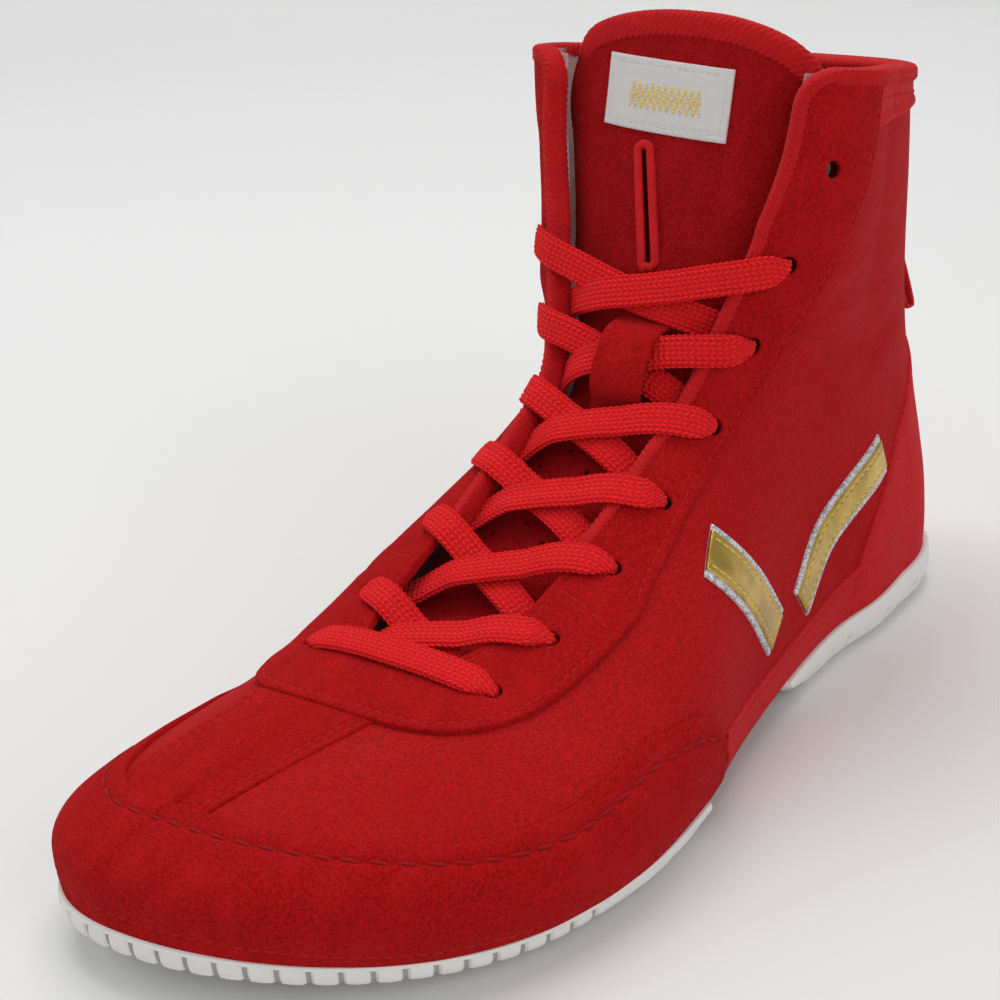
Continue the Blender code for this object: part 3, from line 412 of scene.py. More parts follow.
EYELET_S = np.linspace(s_at_t(EYELET_FIRST), s_at_z(EYELET_LAST), EYELETS)
EYELET_S = EYELET_S + np.array(EYELET_SHIFTS)
EYELET_W = throat_upper(EYELET_S) + EYELET_INSET + np.where(np.arange(EYELETS) == EYELETS - 1, 2.5, 0)
EYELET_POINTS = {side: wrap(EYELET_S, side * EYELET_W) for side in (1, -1)}


# ---------------------------------------------------------------- soft unevenness of the upper
def ripple_field():
    random = np.random.default_rng(11)
    fields = []
    for length, depth, count in ((60, 0.20, 4), (30, 0.10, 5), (13, 0.035, 6)):
        ways = random.normal(size=(count, 3))
        ways = ways / np.linalg.norm(ways, axis=1, keepdims=True) * 2 * pi / length
        fields.append((ways, random.uniform(0, 2 * pi, count), depth))
    return fields


RIPPLES = ripple_field()
# Soft creases: (t, z) of the middle, tilt in radians, half length, half width, depth, in mm
CREASES = ((84, 92, 0.25, 26, 3.6, 1.3), (74, 103, 0.15, 22, 4.0, 0.9), (92, 82, 0.45, 18, 3.2, 0.8),
           (50, 84, -0.1, 16, 4.0, 0.7), (58, 116, 0.1, 20, 5.0, 0.6), (196, 33, 1.2, 14, 5.0, 0.35),
           (212, 30, 1.3, 13, 5.0, 0.3))


def relief(points):
    """Small height differences that all layers of the upper share."""
    height = np.zeros(points.shape[:-1])
    for ways, phases, depth in RIPPLES:
        height += depth * np.sin(points @ ways.T + phases).mean(-1) * 2
    x, t, z = np.moveaxis(points, -1, 0)
    for mid_t, mid_z, tilt, half_length, half_width, depth in CREASES:
        along = ((t - mid_t) * np.cos(tilt) + (z - mid_z) * np.sin(tilt)) / half_length
        across = (-(t - mid_t) * np.sin(tilt) + (z - mid_z) * np.cos(tilt)
                  + 2.5 * np.sin(along * 2 + mid_t)) / half_width
        dent = (1 - 0.8 * across ** 2) * np.exp(-across ** 2 / 2 - along ** 4)
        height -= depth * dent * np.clip(np.abs(x) / 22 - 0.35, 0, 1)
    for side in (1, -1):
        for eye in EYELET_POINTS[side]:
            away = ((points - eye) ** 2).sum(-1)
            height -= 0.35 * np.exp(-away / 10.0)
    return height


# ---------------------------------------------------------------- mesh building
def world(points):
    points = np.asarray(points, float)
    return np.stack([points[..., 0], HEEL_BACK - points[..., 1], points[..., 2]], -1) * MM


def make(name, points, faces, uv=None, sharp=0.9):
    """A mesh object from working-frame points; uv gives one (u, v) in mm per vertex."""
    mesh = bpy.data.meshes.new(name)
    mesh.from_pydata(world(points).reshape(-1, 3).tolist(), [], [list(map(int, face)) for face in faces])
    if uv is not None:
        layer = mesh.uv_layers.new(name="UVMap")
        corners = np.zeros(len(mesh.loops), np.int32)
        mesh.loops.foreach_get("vertex_index", corners)
        layer.data.foreach_set("uv", np.asarray(uv, np.float32).reshape(-1, 2)[corners].ravel())
    mesh.validate()
    mesh.shade_smooth()
    bm = bmesh.new()
    bm.from_mesh(mesh)
    bmesh.ops.recalc_face_normals(bm, faces=bm.faces)
    bm.to_mesh(mesh)
    bm.free()
    if sharp:
        mesh.set_sharp_from_angle(angle=sharp)
    piece = bpy.data.objects.new(name, mesh)
    bpy.context.scene.collection.objects.link(piece)
    return piece


def grid_faces(rows, columns, start=0, around=False, flip=False):
    """Quads of a grid of vertices; around joins the last column to the first."""
    i, j = np.meshgrid(np.arange(rows - 1), np.arange(columns if around else columns - 1), indexing="ij")
    n = (j + 1) % columns
    faces = np.stack([i * columns + j, i * columns + n, (i + 1) * columns + n, (i + 1) * columns + j], -1)
    faces = faces.reshape(-1, 4) + start
    return faces[:, ::-1] if flip else faces


def tube_faces(rings, count, start=0):
    """Quads round a tube of vertex rings, and its two end faces."""
    last = start + (rings - 1) * count
    faces = grid_faces(rings, count, start, around=True).tolist()
    return faces + [list(range(start + count - 1, start - 1, -1)), list(range(last, last + count))]


def shell(name, top, bottom, uv):
    """A closed sheet between two grids of points of the same size."""
    rows, columns = top.shape[:2]
    count = rows * columns
    faces = [grid_faces(rows, columns), grid_faces(rows, columns, count, flip=True)]
    index = np.arange(count).reshape(rows, columns)
    border = np.concatenate([index[0, :-1], index[:-1, -1], index[-1, :0:-1], index[:0:-1, 0]])
    after = np.roll(border, -1)
    faces.append(np.stack([border, border + count, after + count, after], -1))
    points = np.concatenate([top.reshape(-1, 3), bottom.reshape(-1, 3)])
    uv = np.concatenate([uv.reshape(-1, 2)] * 2)
    return make(name, points, np.concatenate(faces), uv)


# Edge profiles of a panel: (distance in from its edge, height relative to its face)
PLAIN = ((0.0, 0.0),)
CUT = ((0.0, -0.7), (0.08, -0.32), (0.3, -0.1), (0.75, 0.0))
SEWN = CUT + ((1.4, 0.05), (1.9, -0.08), (2.3, -0.26), (2.7, -0.08), (3.3, 0.06), (4.6, 0.0))
ROPED = CUT + ((2.2, 0.12), (3.6, 0.1), (4.5, -0.18), (5.1, -0.5), (5.7, -0.18), (6.6, 0.12), (8.6, 0.0))
TWIN = CUT + ((1.2, 0.0), (1.6, -0.22), (2.0, 0.0), (3.0, 0.0), (3.4, -0.22), (3.8, 0.0))
RIDGED = ((0.0, -0.5), (0.2, 0.25), (0.7, 0.6), (1.4, 0.55), (2.0, 0.1), (2.5, -0.1), (3.2, 0.0))
SEAM_INSET = 2.3
ROPE_INSET = 5.1
SEAM_SINK = -0.2               # height of a seam's thread over the panel's face
SEAM_PITCH = 2.8
HEEL_PITCH = 2.9
FINE_THREAD = 0.24


def across(width, start, end, step):
    """Positions from 0 to 1 across lines of the given widths, dense at the edges, and heights there."""
    near, far = np.array(start), np.array(end)[::-1]
    taken = near[-1, 0] + far[0, 0]
    fit = np.minimum(1, 0.9 * width / max(taken, 1e-6))[:, None]
    count = max(int(np.ceil((width.max() - taken) / step)), 1)
    first, last = near[:, 0] * fit, width[:, None] - far[:, 0] * fit
    inner = first[:, -1:] + (last[:, :1] - first[:, -1:]) * np.linspace(0, 1, count + 1)[1:-1]
    heights = np.concatenate([near[:, 1], np.zeros(count - 1), far[:, 1]])
    return np.hstack([first, inner, last]) / width[:, None], heights


def panel(name, place, edges, top=OVERLAY, bottom=SUNK, step=STEP, shift=None):
    """A sheet on the boot. place(f, c) gives surface points; edges are the profiles at f=0, f=1, c=0, c=1.

    Returns the piece, and its sheet: a function giving points on its face with the directions out,
    and a function giving the share of the way across at a distance in from an edge.
    """
    marks = np.linspace(0, 1, 25)
    f, c = np.meshgrid(marks, marks, indexing="ij")
    coarse = place(f, c)
    wide = running_length(coarse, 1)[:, -1]
    long = running_length(coarse, 0)[-1]
    rows, row_heights = across(np.maximum(long, 0.5), edges[0], edges[1], step)
    columns, column_heights = across(np.maximum(wide, 0.5), edges[2], edges[3], step)
    middle_c = columns.mean(0)
    f = np.stack([np.interp(middle_c, marks, rows[:, i]) for i in range(rows.shape[1])])
    c = np.stack([np.interp(f[:, j], marks, columns[:, j]) for j in range(columns.shape[1])], 1)
    lift = np.minimum(row_heights[:, None], column_heights[None])
    raised = np.maximum(row_heights[:, None], column_heights[None])
    lift = np.where(lift < 0, lift, raised)

    def height(f, c, base):
        return relief(base) + (shift(f, c) if shift else 0)
    base, out = skin(place(f, c))
    extra = height(f, c, base)
    face = base + out * (top + lift + extra)[..., None]
    back = base + out * (bottom + extra)[..., None]
    uv = np.stack([f * long.mean(), (c - 0.5) * np.interp(f, marks, wide)], -1)
    piece = shell(name, face, back, uv)

    def line(f, c, above=SEAM_SINK):
        f, c = np.broadcast_arrays(np.asarray(f, float), np.asarray(c, float))
        base, out = skin(place(f, c))
        return base + out * (top + above + height(f, c, base))[..., None], out

    def inset(distance, where, along="f"):
        """Share of the way across at which a line lies that far in from the low edge."""
        lengths = wide if along == "c" else long
        return distance / np.interp(where, marks, lengths)
    return piece, (line, inset)


def punch(piece, points, outs, radius, reach=4.0, sides=20):
    """Round holes cut through a piece."""
    rings, faces = [], []
    angles = np.linspace(0, 2 * pi, sides, endpoint=False)
    for number, (point, out) in enumerate(zip(points, outs)):
        side = unit(np.cross(out, (0.0, 1.0, 0.0)))
        other = np.cross(out, side)
        ring = radius * (np.cos(angles)[:, None] * side + np.sin(angles)[:, None] * other)
        rings += [point + ring - out * reach, point + ring + out * reach]
        faces += tube_faces(2, sides, 2 * sides * number)
    cut_away(piece, make(piece.name + "_holes", np.concatenate(rings), faces))


def modified(piece):
    """A new mesh with the piece's modifiers applied."""
    bpy.context.view_layer.update()
    return bpy.data.meshes.new_from_object(piece.evaluated_get(bpy.context.evaluated_depsgraph_get()))


def cut_away(piece, cutter):
    modifier = piece.modifiers.new("Cut", "BOOLEAN")
    modifier.object = cutter
    result = modified(piece)
    piece.modifiers.clear()
    piece.data = result
    bpy.data.objects.remove(cutter, do_unlink=True)


def resample(points, step, *others):
    """Points at even distances along a line, with other values carried along."""
    length = running_length(points, 0)
    marks = np.linspace(0, length[-1], max(int(round(length[-1] / step)), 2) + 1)
    values = [np.stack([np.interp(marks, length, value[:, k]) for k in range(value.shape[1])], 1)
              for value in (points, *others)]
    return marks, *values


def sweep(name, centres, sides, ups, section, bump=None, closed=False):
    """A closed tube: section[ring, k] is (side, up) in mm; bump(along, round) raises it."""
    rings, count = len(centres), section.shape[-2]
    section = np.broadcast_to(section, (rings, count, 2))
    edge = np.roll(section, -1, 1) - np.roll(section, 1, 1)
    outward = unit(np.stack([edge[..., 1], -edge[..., 0]], -1))
    along = running_length(centres, 0)[:, None]
    steps = np.linalg.norm(np.roll(section, -1, 1) - section, axis=-1)
    about = np.cumsum(steps, 1) - steps
    if bump is not None:
        section = section + outward * bump(along, about)[..., None]
    points = centres[:, None] + sides[:, None] * section[..., :1] + ups[:, None] * section[..., 1:]
    faces = tube_faces(rings, count)
    if closed:
        last = (rings - 1) * count
        faces[-2:] = [(last + k, last + (k + 1) % count, (k + 1) % count, k) for k in range(count)]
    uv = np.stack([np.broadcast_to(along, about.shape), about], -1)
    return make(name, points.reshape(-1, 3), faces, uv, sharp=0)


def rounded(width, thick, count, power=2.6):
    """A flat section with rounded sides, turning anticlockwise."""
    angles = np.linspace(0, 2 * pi, count, endpoint=False)
    x, y = np.cos(angles), np.sin(angles)
    return np.stack([np.sign(x) * np.abs(x) ** (2 / power) * width / 2,
                     np.sign(y) * np.abs(y) ** (2 / power) * thick / 2], -1)


# ---------------------------------------------------------------- stitches
threads = {}


def stitch(kind, points, outs, pitch=3.2, radius=THREAD, slant=0.0, fill=0.84, rise=0.35):
    """A row of stitches along a line on the surface. kind is the piece they are gathered in."""
    marks, path, up = resample(np.asarray(points), 0.4, outs)
    count = int(marks[-1] / pitch)
    if count < 1:
        return
    u = np.array([0.0, 0.12, 0.35, 0.65, 0.88, 1.0])
    at = (np.arange(count)[:, None] + 0.5 + (u - 0.5) * fill) * marks[-1] / count
    centres = np.stack([np.interp(at, marks, path[:, k]) for k in range(3)], -1)
    up = unit(np.stack([np.interp(at, marks, up[:, k]) for k in range(3)], -1))
    ahead = unit(np.gradient(centres, axis=1))
    side = unit(np.cross(up, ahead))
    lift = radius * (rise + 0.65) * np.sin(pi * u) ** 0.6 - radius * 0.95
    centres = centres + up * lift[None, :, None] + side * (slant * (u - 0.5))[None, :, None]
    girth = radius * np.array([0.45, 0.8, 1.0, 1.0, 0.8, 0.45])
    angles = np.linspace(0, 2 * pi, 7)[:-1]
    ring = (side[:, :, None] * np.cos(angles)[:, None] + up[:, :, None] * np.sin(angles)[:, None])
    tubes = centres[:, :, None] + ring * girth[None, :, None, None]
    threads.setdefault(kind, []).append(tubes)


def seam(kind, sheet, distance, ends, count, pitch, radius=THREAD, far=False, above=SEAM_SINK, **how):
    """Stitches that far in from a panel's low or far edge, between two shares of its length."""
    line, inset = sheet
    f = np.linspace(*ends, count)
    share = inset(distance, f, "c")
    stitch(kind, *line(f, 1 - share if far else share, above), pitch, radius, **how)


def gather_threads():
    """Makes one piece of each kind's stitches, in two halves where a long seam needs it."""
    made = {}
    for kind, groups in threads.items():
        tubes = np.concatenate(groups)
        front = tubes[:, :, :, 1].mean((1, 2)) > VAMP_SPLIT
        halves = {"_front": tubes[front], "_rear": tubes[~front]}
        if kind.startswith("tongue"):
            halves = {"": tubes}
        for half, part in halves.items():
            if not len(part):
                continue
            count, rings, sides = part.shape[:3]
            faces = []
            for k in range(count):
                faces += tube_faces(rings, sides, k * rings * sides)
            name = kind + "_stitches" + half
            made[name] = make(name, part.reshape(-1, 3), faces, sharp=0)
    return made


# ---------------------------------------------------------------- materials
class Look:
    """A Principled material, and short ways to add nodes to it."""

    def __init__(self, name, colour, roughness, **inputs):
        self.material = bpy.data.materials.new(name)
        self.material.use_nodes = True
        self.nodes = self.material.node_tree.nodes
        self.links = self.material.node_tree.links
        self.shader = self.nodes["Principled BSDF"]
        self.feed(self.shader, {"Base Color": colour, "Roughness": roughness, **inputs})
        self.last_bump = None

    def feed(self, node, values):
        for key, value in values.items():
            if isinstance(value, bpy.types.NodeSocket):
                self.links.new(value, node.inputs[key])
            elif isinstance(value, tuple) and len(value) == 3 and node.inputs[key].type == "RGBA":
                node.inputs[key].default_value = (*value, 1)
            else:
                node.inputs[key].default_value = value

    def node(self, kind, values=None, **settings):
        node = self.nodes.new("ShaderNode" + kind)
        for key, value in settings.items():
            setattr(node, key, value)
        self.feed(node, values or {})
        return node

    def at(self, source="Object", scale=(1, 1, 1)):
        """Texture coordinates: Object is in metres, UV in millimetres."""
        socket = self.node("TexCoord").outputs[source]
        return self.node("Mapping", {"Vector": socket, "Scale": scale}).outputs[0]

    def noise(self, scale, detail=2.0, rough=0.5, at=None):
        values = {"Vector": at or self.at(), "Scale": scale, "Detail": detail, "Roughness": rough}
        return self.node("TexNoise", values).outputs[0]

    def cells(self, scale):
        return self.node("TexVoronoi", {"Vector": self.at(), "Scale": scale}).outputs[0]

    def wave(self, scale, direction, distortion=0.0):
        values = {"Vector": self.at("UV"), "Scale": scale, "Distortion": distortion}
        return self.node("TexWave", values, bands_direction=direction).outputs[1]

    def range(self, value, low, high, to_low=0.0, to_high=1.0):
        values = {"Value": value, "From Min": low, "From Max": high, "To Min": to_low, "To Max": to_high}
        return self.node("MapRange", values).outputs[0]

    def mix(self, factor, first, second):
        node = self.node("Mix", data_type="RGBA")
        self.feed(node, {0: factor})
        for index, value in ((6, first), (7, second)):
            if isinstance(value, tuple):
                node.inputs[index].default_value = (*value, 1)
            else:
                self.links.new(value, node.inputs[index])
        return node.outputs[2]

    def add(self, first, second, kind="ADD"):
        return self.node("Math", {0: first, 1: second}, operation=kind).outputs[0]

    def bump(self, height, depth):
        """Raises the surface by up to depth mm where height is 1."""
        values = {"Height": height, "Distance": depth * MM}
        if self.last_bump is not None:
            values["Normal"] = self.last_bump
        self.last_bump = self.node("Bump", values).outputs[0]
        self.links.new(self.last_bump, self.shader.inputs["Normal"])

    def colour(self, socket):
        self.links.new(socket, self.shader.inputs["Base Color"])

    def rough(self, socket):
        self.links.new(socket, self.shader.inputs["Roughness"])


def tint(colour, factor):
    return tuple(c * factor for c in colour)


def cloth(name, colour, roughness, sheen, sheen_roughness, sheen_tint, specular):
    return Look(name, colour, roughness, **{"Sheen Weight": sheen, "Sheen Roughness": sheen_roughness,
                                            "Sheen Tint": (1.0, sheen_tint, sheen_tint),
                                            "Specular IOR Level": specular})


SUEDE_GRAIN = 1500.0           # noise scale, per metre


def suede(name, colour, dark):
    """Short brushed nap: grainy, with lighter and darker patches where it lies differently."""
    look = cloth(name, colour, 1.0, 0.12, 0.5, 0.12, 0.04)
    grainy = look.noise(SUEDE_GRAIN, 3, 0.65)
    patches = look.noise(34, 3, 0.6)
    streaks = look.noise(160, 2, 0.5, look.at(scale=(1, 0.35, 0.6)))
    base = look.mix(look.range(grainy, 0.35, 0.65), dark, colour)
    base = look.mix(look.range(patches, 0.35, 0.68, 0.0, 0.22), base, tint(colour, 0.62))
    brushed = tuple(c * 1.35 + 0.01 for c in colour)
    look.colour(look.mix(look.range(streaks, 0.45, 0.75, 0.0, 0.16), base, brushed))
    look.bump(look.noise(SUEDE_GRAIN * 0.45, 2, 0.6), 0.3)
    look.bump(look.noise(SUEDE_GRAIN * 1.6, 3, 0.7), 0.22)
    return look.material


def microfibre(name, colour):
    """Smooth knitted-back upper cloth with a very short pile and a soft lustre."""
    look = cloth(name, colour, 0.85, 0.12, 0.4, 0.15, 0.08)
    fine = look.noise(1500, 3, 0.6)
    patches = look.noise(28, 2, 0.5)
    base = look.mix(look.range(fine, 0.35, 0.65), tint(colour, 0.62), tint(colour, 1.1))
    look.colour(look.mix(look.range(patches, 0.4, 0.7, 0.0, 0.3), base, tint(colour, 0.74)))
    look.rough(look.range(patches, 0.3, 0.7, 0.8, 0.95))
    look.bump(look.noise(900, 2, 0.5), 0.12)
    look.bump(fine, 0.12)
    return look.material


def woven(name, colour, thread=0.35, shine=0.25):
    """Spun yarn: fine fibres on shapes that carry the weave themselves."""
    look = cloth(name, colour, 0.68, shine, 0.35, 0.3, 0.12)
    fibres = look.noise(2600, 2, 0.6, look.at(scale=(1, 0.5, 0.7)))
    blotches = look.noise(260, 2, 0.5)
    base = look.mix(look.range(fibres, 0.35, 0.65), tint(colour, 0.72), colour)
    look.colour(look.mix(look.range(blotches, 0.4, 0.7, 0.0, 0.3), base, tint(colour, 1.2)))
    look.bump(fibres, thread * 0.3)
    return look.material


BRAID_COLUMN, BRAID_PITCH = 1.15, 1.55     # mm


def braided(name, colour):
    """Flat braid: the columns of slanting stitches of braid(), with painted shade in the valleys between
    them.
    """
    look = cloth(name, colour, 0.7, 0.2, 0.35, 0.2, 0.1)
    along, about, _ = look.node("SeparateXYZ", {0: look.at("UV")}).outputs
    column = look.add(about, BRAID_COLUMN, "DIVIDE")
    share = look.add(column, 1.0, "FRACT")
    odd = look.add(look.add(look.add(column, 1.0, "FLOOR"), 2.0, "MODULO"), 0.5, "GREATER_THAN")
    lean = look.add(look.add(odd, 2.0, "MULTIPLY"), 1.0, "SUBTRACT")
    tilt = look.add(look.add(look.add(share, 0.5, "SUBTRACT"), lean, "MULTIPLY"), 0.7, "MULTIPLY")
    turn = look.add(look.add(look.add(along, BRAID_PITCH, "DIVIDE"), tilt), pi, "MULTIPLY")
    strand = look.add(look.add(turn, 0.0, "SINE"), 0.0, "ABSOLUTE")
    crown = look.add(strand, look.add(look.add(share, pi, "MULTIPLY"), 0.0, "SINE"), "MULTIPLY")
    fibres = look.noise(2600, 2, 0.6)
    # painted shade: where crown is low, between the strands, the colour drops to 0.60 of itself
    base = look.mix(look.range(crown, 0.05, 0.5), tint(colour, 0.60), colour)
    look.colour(look.mix(look.range(fibres, 0.4, 0.7, 0.0, 0.3), base, tint(colour, 0.8)))
    look.bump(crown, 0.3)
    look.bump(fibres, 0.1)
    return look.material


def rubber(name, colour):
    look = Look(name, colour, 0.5, **{"Specular IOR Level": 0.45, "Subsurface Weight": 0.08,
                                      "Subsurface Radius": (0.004, 0.0035, 0.003)})
    cloud = look.noise(60, 3, 0.6)
    dust = look.noise(700, 3, 0.7)
    base = look.mix(look.range(cloud, 0.4, 0.75, 0.0, 0.35), colour, tint(colour, 0.9))
    look.colour(look.mix(look.range(dust, 0.62, 0.8, 0.0, 0.5), base, (0.55, 0.52, 0.47)))
    look.rough(look.range(cloud, 0.3, 0.7, 0.42, 0.6))
    look.bump(look.noise(1400, 2, 0.6), 0.03)
    return look.material


def gold_film():
    """Foil-faced film, slightly uneven from the cloth under it."""
    look = Look("gold_film", (0.62, 0.42, 0.075), 0.27, Metallic=0.92,
                **{"Coat Weight": 0.35, "Coat Roughness": 0.12})
    cloud = look.noise(120, 2, 0.5)
    look.colour(look.mix(look.range(cloud, 0.35, 0.7), (0.42, 0.27, 0.035), (0.66, 0.45, 0.09)))
    look.rough(look.range(look.noise(420, 2, 0.6), 0.3, 0.7, 0.2, 0.36))
    look.bump(look.noise(300, 2, 0.5), 0.10)
    look.bump(look.noise(2400, 1, 0.5), 0.012)
    return look.material


def glitter_edging():
    look = Look("silver_edging", (0.72, 0.72, 0.74), 0.45, Metallic=0.25)
    flakes_and_glints = look.cells(1500)
    # painted glints: the bright cell centres, 0.9, stand for glitter flakes catching light; the same cells
    # give the flakes' real roughness and bumps
    look.colour(look.mix(look.range(flakes_and_glints, 0.2, 0.7), (0.9, 0.9, 0.92), (0.38, 0.38, 0.42)))
    look.rough(look.range(flakes_and_glints, 0.2, 0.8, 0.25, 0.7))
    look.bump(flakes_and_glints, 0.16)
    return look.material


def lining_cloth(name, colour):
    """Fine spacer mesh: small round cells in rows, with painted shade in the hollows between them."""
    look = Look(name, colour, 0.9, **{"Sheen Weight": 0.3, "Specular IOR Level": 0.2})
    across_rows = look.wave(0.62, "X")
    along_rows = look.wave(0.62, "Y")
    cells = look.add(across_rows, along_rows, "MULTIPLY")
    # painted shade: where cells is low, in the mesh's hollows, the colour drops to 0.78 of itself
    look.colour(look.mix(look.range(cells, 0.1, 0.7), tint(colour, 0.78), colour))
    look.bump(cells, 0.22)
    look.bump(look.noise(1500, 2, 0.6), 0.05)
    return look.material


def label_weave():
    look = Look("label_weave", (0.86, 0.85, 0.82), 0.6, **{"Sheen Weight": 0.3})
    weft = look.wave(1.5, "X", 0.4)
    warp = look.wave(0.9, "Y", 0.3)
    # painted shade: the weave darkens to about 0.84 where weft and warp dip, between the raised crossings
    look.colour(look.mix(look.add(weft, warp, "MULTIPLY"), (0.84, 0.83, 0.80), (0.97, 0.96, 0.93)))
    look.bump(weft, 0.10)
    look.bump(warp, 0.06)
    return look.material


def board(name, colour):
    look = Look(name, colour, 0.85)
    fibres = look.noise(500, 4, 0.7, look.at(scale=(1, 0.3, 1)))
    look.colour(look.mix(look.range(fibres, 0.35, 0.65), tint(colour, 0.7), colour))
    look.bump(fibres, 0.12)
    return look.material


def foam(name, colour):
    look = Look(name, colour, 0.95)
    pores = look.cells(900)
    # painted shade: the pores, the dips of the bump, darken to 0.6 of the colour
    look.colour(look.mix(look.range(pores, 0.1, 0.6), tint(colour, 0.6), colour))
    look.bump(pores, 0.3)
    return look.material


def clear_plastic():
    look = Look("aglet_plastic", (0.80, 0.78, 0.76), 0.18,
                **{"Coat Weight": 0.5, "Transmission Weight": 0.2})
    look.bump(look.noise(700, 1, 0.5), 0.04)
    return look.material


# A look is a material and its slot. DARK_CLOTH and SOCK are used in two slots.
RED_SUEDE = suede("suede", (0.500, 0.0082, 0.0094), (0.260, 0.0040, 0.0050)), "suede"
DEEP_SUEDE = suede("suede_tongue", (0.410, 0.0070, 0.0088), (0.215, 0.0034, 0.0046)), "suede"
UPPER = microfibre("upper_microfibre", (0.47, 0.0080, 0.0100)), "upper_microfibre"
HEEL_CLOTH = microfibre("heel_microfibre", (0.62, 0.0200, 0.0250)), "upper_microfibre"
TAPE = woven("binding_tape", (0.56, 0.0080, 0.0110)), "binding_tape"
LACE = braided("lace_braid", (0.90, 0.0150, 0.0185)), "lace_braid"
THREAD_RED = woven("thread_red", (0.50, 0.0110, 0.0130), 0.3, 0.1), "binding_tape"
ROPE_RED = woven("rope_red", (0.34, 0.0070, 0.0085), 0.3, 0.05), "binding_tape"
THREAD_WHITE = woven("thread_white", (0.74, 0.73, 0.71), 0.3, 0.1), "label_weave"
THREAD_GOLD = Look("thread_gold", (0.80, 0.58, 0.16), 0.4, Metallic=0.55).material, "gold_film"
SATIN = woven("satin_thread", (0.60, 0.0110, 0.0150), 0.25, 0.2), "binding_tape"
RUBBER = rubber("sole_rubber", (0.80, 0.785, 0.745)), "sole_rubber"
RUBBER_GREY = rubber("sole_rubber_grey", (0.34, 0.34, 0.33))
GOLD = gold_film(), "gold_film"
SILVER = glitter_edging(), "edging_weave"
LINING = lining_cloth("lining_cloth", (0.66, 0.40, 0.38)), "lining_cloth"
SOCK = lining_cloth("sock_cloth", (0.58, 0.20, 0.19))
LABEL = label_weave(), "label_weave"
# DARK_CLOTH also serves as painted shade behind the tongue's slot
DARK_CLOTH = microfibre("dark_cloth", (0.13, 0.003, 0.004))
BOARD = board("inner_board", (0.42, 0.39, 0.34)), "inner_board"
FOAM = foam("foam", (0.52, 0.50, 0.46)), "inner_board"
PLASTIC = clear_plastic(), "aglet_plastic"


# ---------------------------------------------------------------- bends listed at the joints, and how pieces are dressed
def bend(first, second, joint, way, before, after):
    """A bend between two bodies, spread from one distance (m) past a joint to another, along way."""
    hinge = Vector(joints[joint]["pos_m"])
    return first, second, hinge + way * before, hinge + way * after


FORWARD = Vector((0, -1, 0))
UP_THE_LEG = Vector((0, 0.22, 0.975))
WAYS = {
    "front": bend("root", "toe", "toe_flex", FORWARD, -0.006, 0.018),
    "rear": bend("root", "shaft", "ankle_flex", UP_THE_LEG, -0.025, 0.025),
    "top": bend("shaft", "tongue_top", "tongue_fold", UP_THE_LEG, -0.007, 0.009),
}


def dress(piece, look, way, *nodes):
    """Gives a finished piece its material, parents it to the body it follows (a piece on a bend only has its
    transform baked), and hides the CAD nodes it replaces.
    """
    material, slot = look
    piece.data.materials.clear()
    piece.data.materials.append(material)
    if way in WAYS:
        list(WAYS[way])
        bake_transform(piece)
    else:
        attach(piece, way)
    if nodes:
        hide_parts(*nodes)


SIDES = ((1, "lateral"), (-1, "medial"))


# ---------------------------------------------------------------- the main panels
def pace(first, last, side):
    """s for a share of the way, with even steps along whichever of top line and lower edge is longer."""
    s = np.linspace(first, last, 240)
    lower = running_length(wrap(s, side * bottom_w(s, side)), 0)
    upper = running_length(wrap(s, 0 * s), 0)
    travel = np.concatenate([[0], np.cumsum(np.maximum(np.diff(lower), np.diff(upper)))])
    return lambda f: np.interp(f * travel[-1], travel, s)


def half_boot(side, inner, first, last, tuck=1.2):
    """A panel's surface from an inner line down to the sole, between two stations."""
    station = pace(first, last, side)

    def place(f, c):
        s = station(f)
        edge = inner(s)
        return wrap(s, side * (edge + (bottom_w(s, side) + tuck - edge) * c))
    return place


def build_quarters():
    middle = s_at_t(VAMP_SPLIT)
    for side, name in SIDES:
        for half, first, last, way in (("front", s_at_t(VAMP_TOE), middle, "front"),
                                       ("rear", middle, S_COLLAR + 0.5, "rear")):
            place = half_boot(side, main_edge, first, last)
            piece, _ = panel(f"quarter_{name}_{half}", place, (PLAIN,) * 4, *QUARTER_LAYER)
            dress(piece, UPPER, way, "quarter_" + name)
            place = half_boot(side, lining_edge, first, min(last, S_COLLAR - 0.5), -0.5)
            piece, _ = panel(f"lining_{name}_{half}", place, (PLAIN,) * 4, *LINING_LAYER, STEP * 1.3)
            if half == "rear":
                punch(piece, *skin(EYELET_POINTS[side][2:]), EYELET_RADIUS + 0.5, 8.0)
            dress(piece, LINING, way, "lining_" + name)


guard_height = smooth_curve((0, 32), (0.35, 29.5), (0.62, 26.5), (0.83, 29), (0.93, 23), (1, 7))
GUARD_Q = (q_at_t(GUARD_END, 1), q_at_t(GUARD_END, -1))


def guard_place(f, c):
    first, last = GUARD_Q
    q = first + (last - first) * f
    share = np.where(q < Q_TIP, (Q_TIP - q) / (Q_TIP - first), (q - Q_TIP) / (last - Q_TIP))
    return rim(q, 0.2 + (guard_height(share) - 0.2) * c)


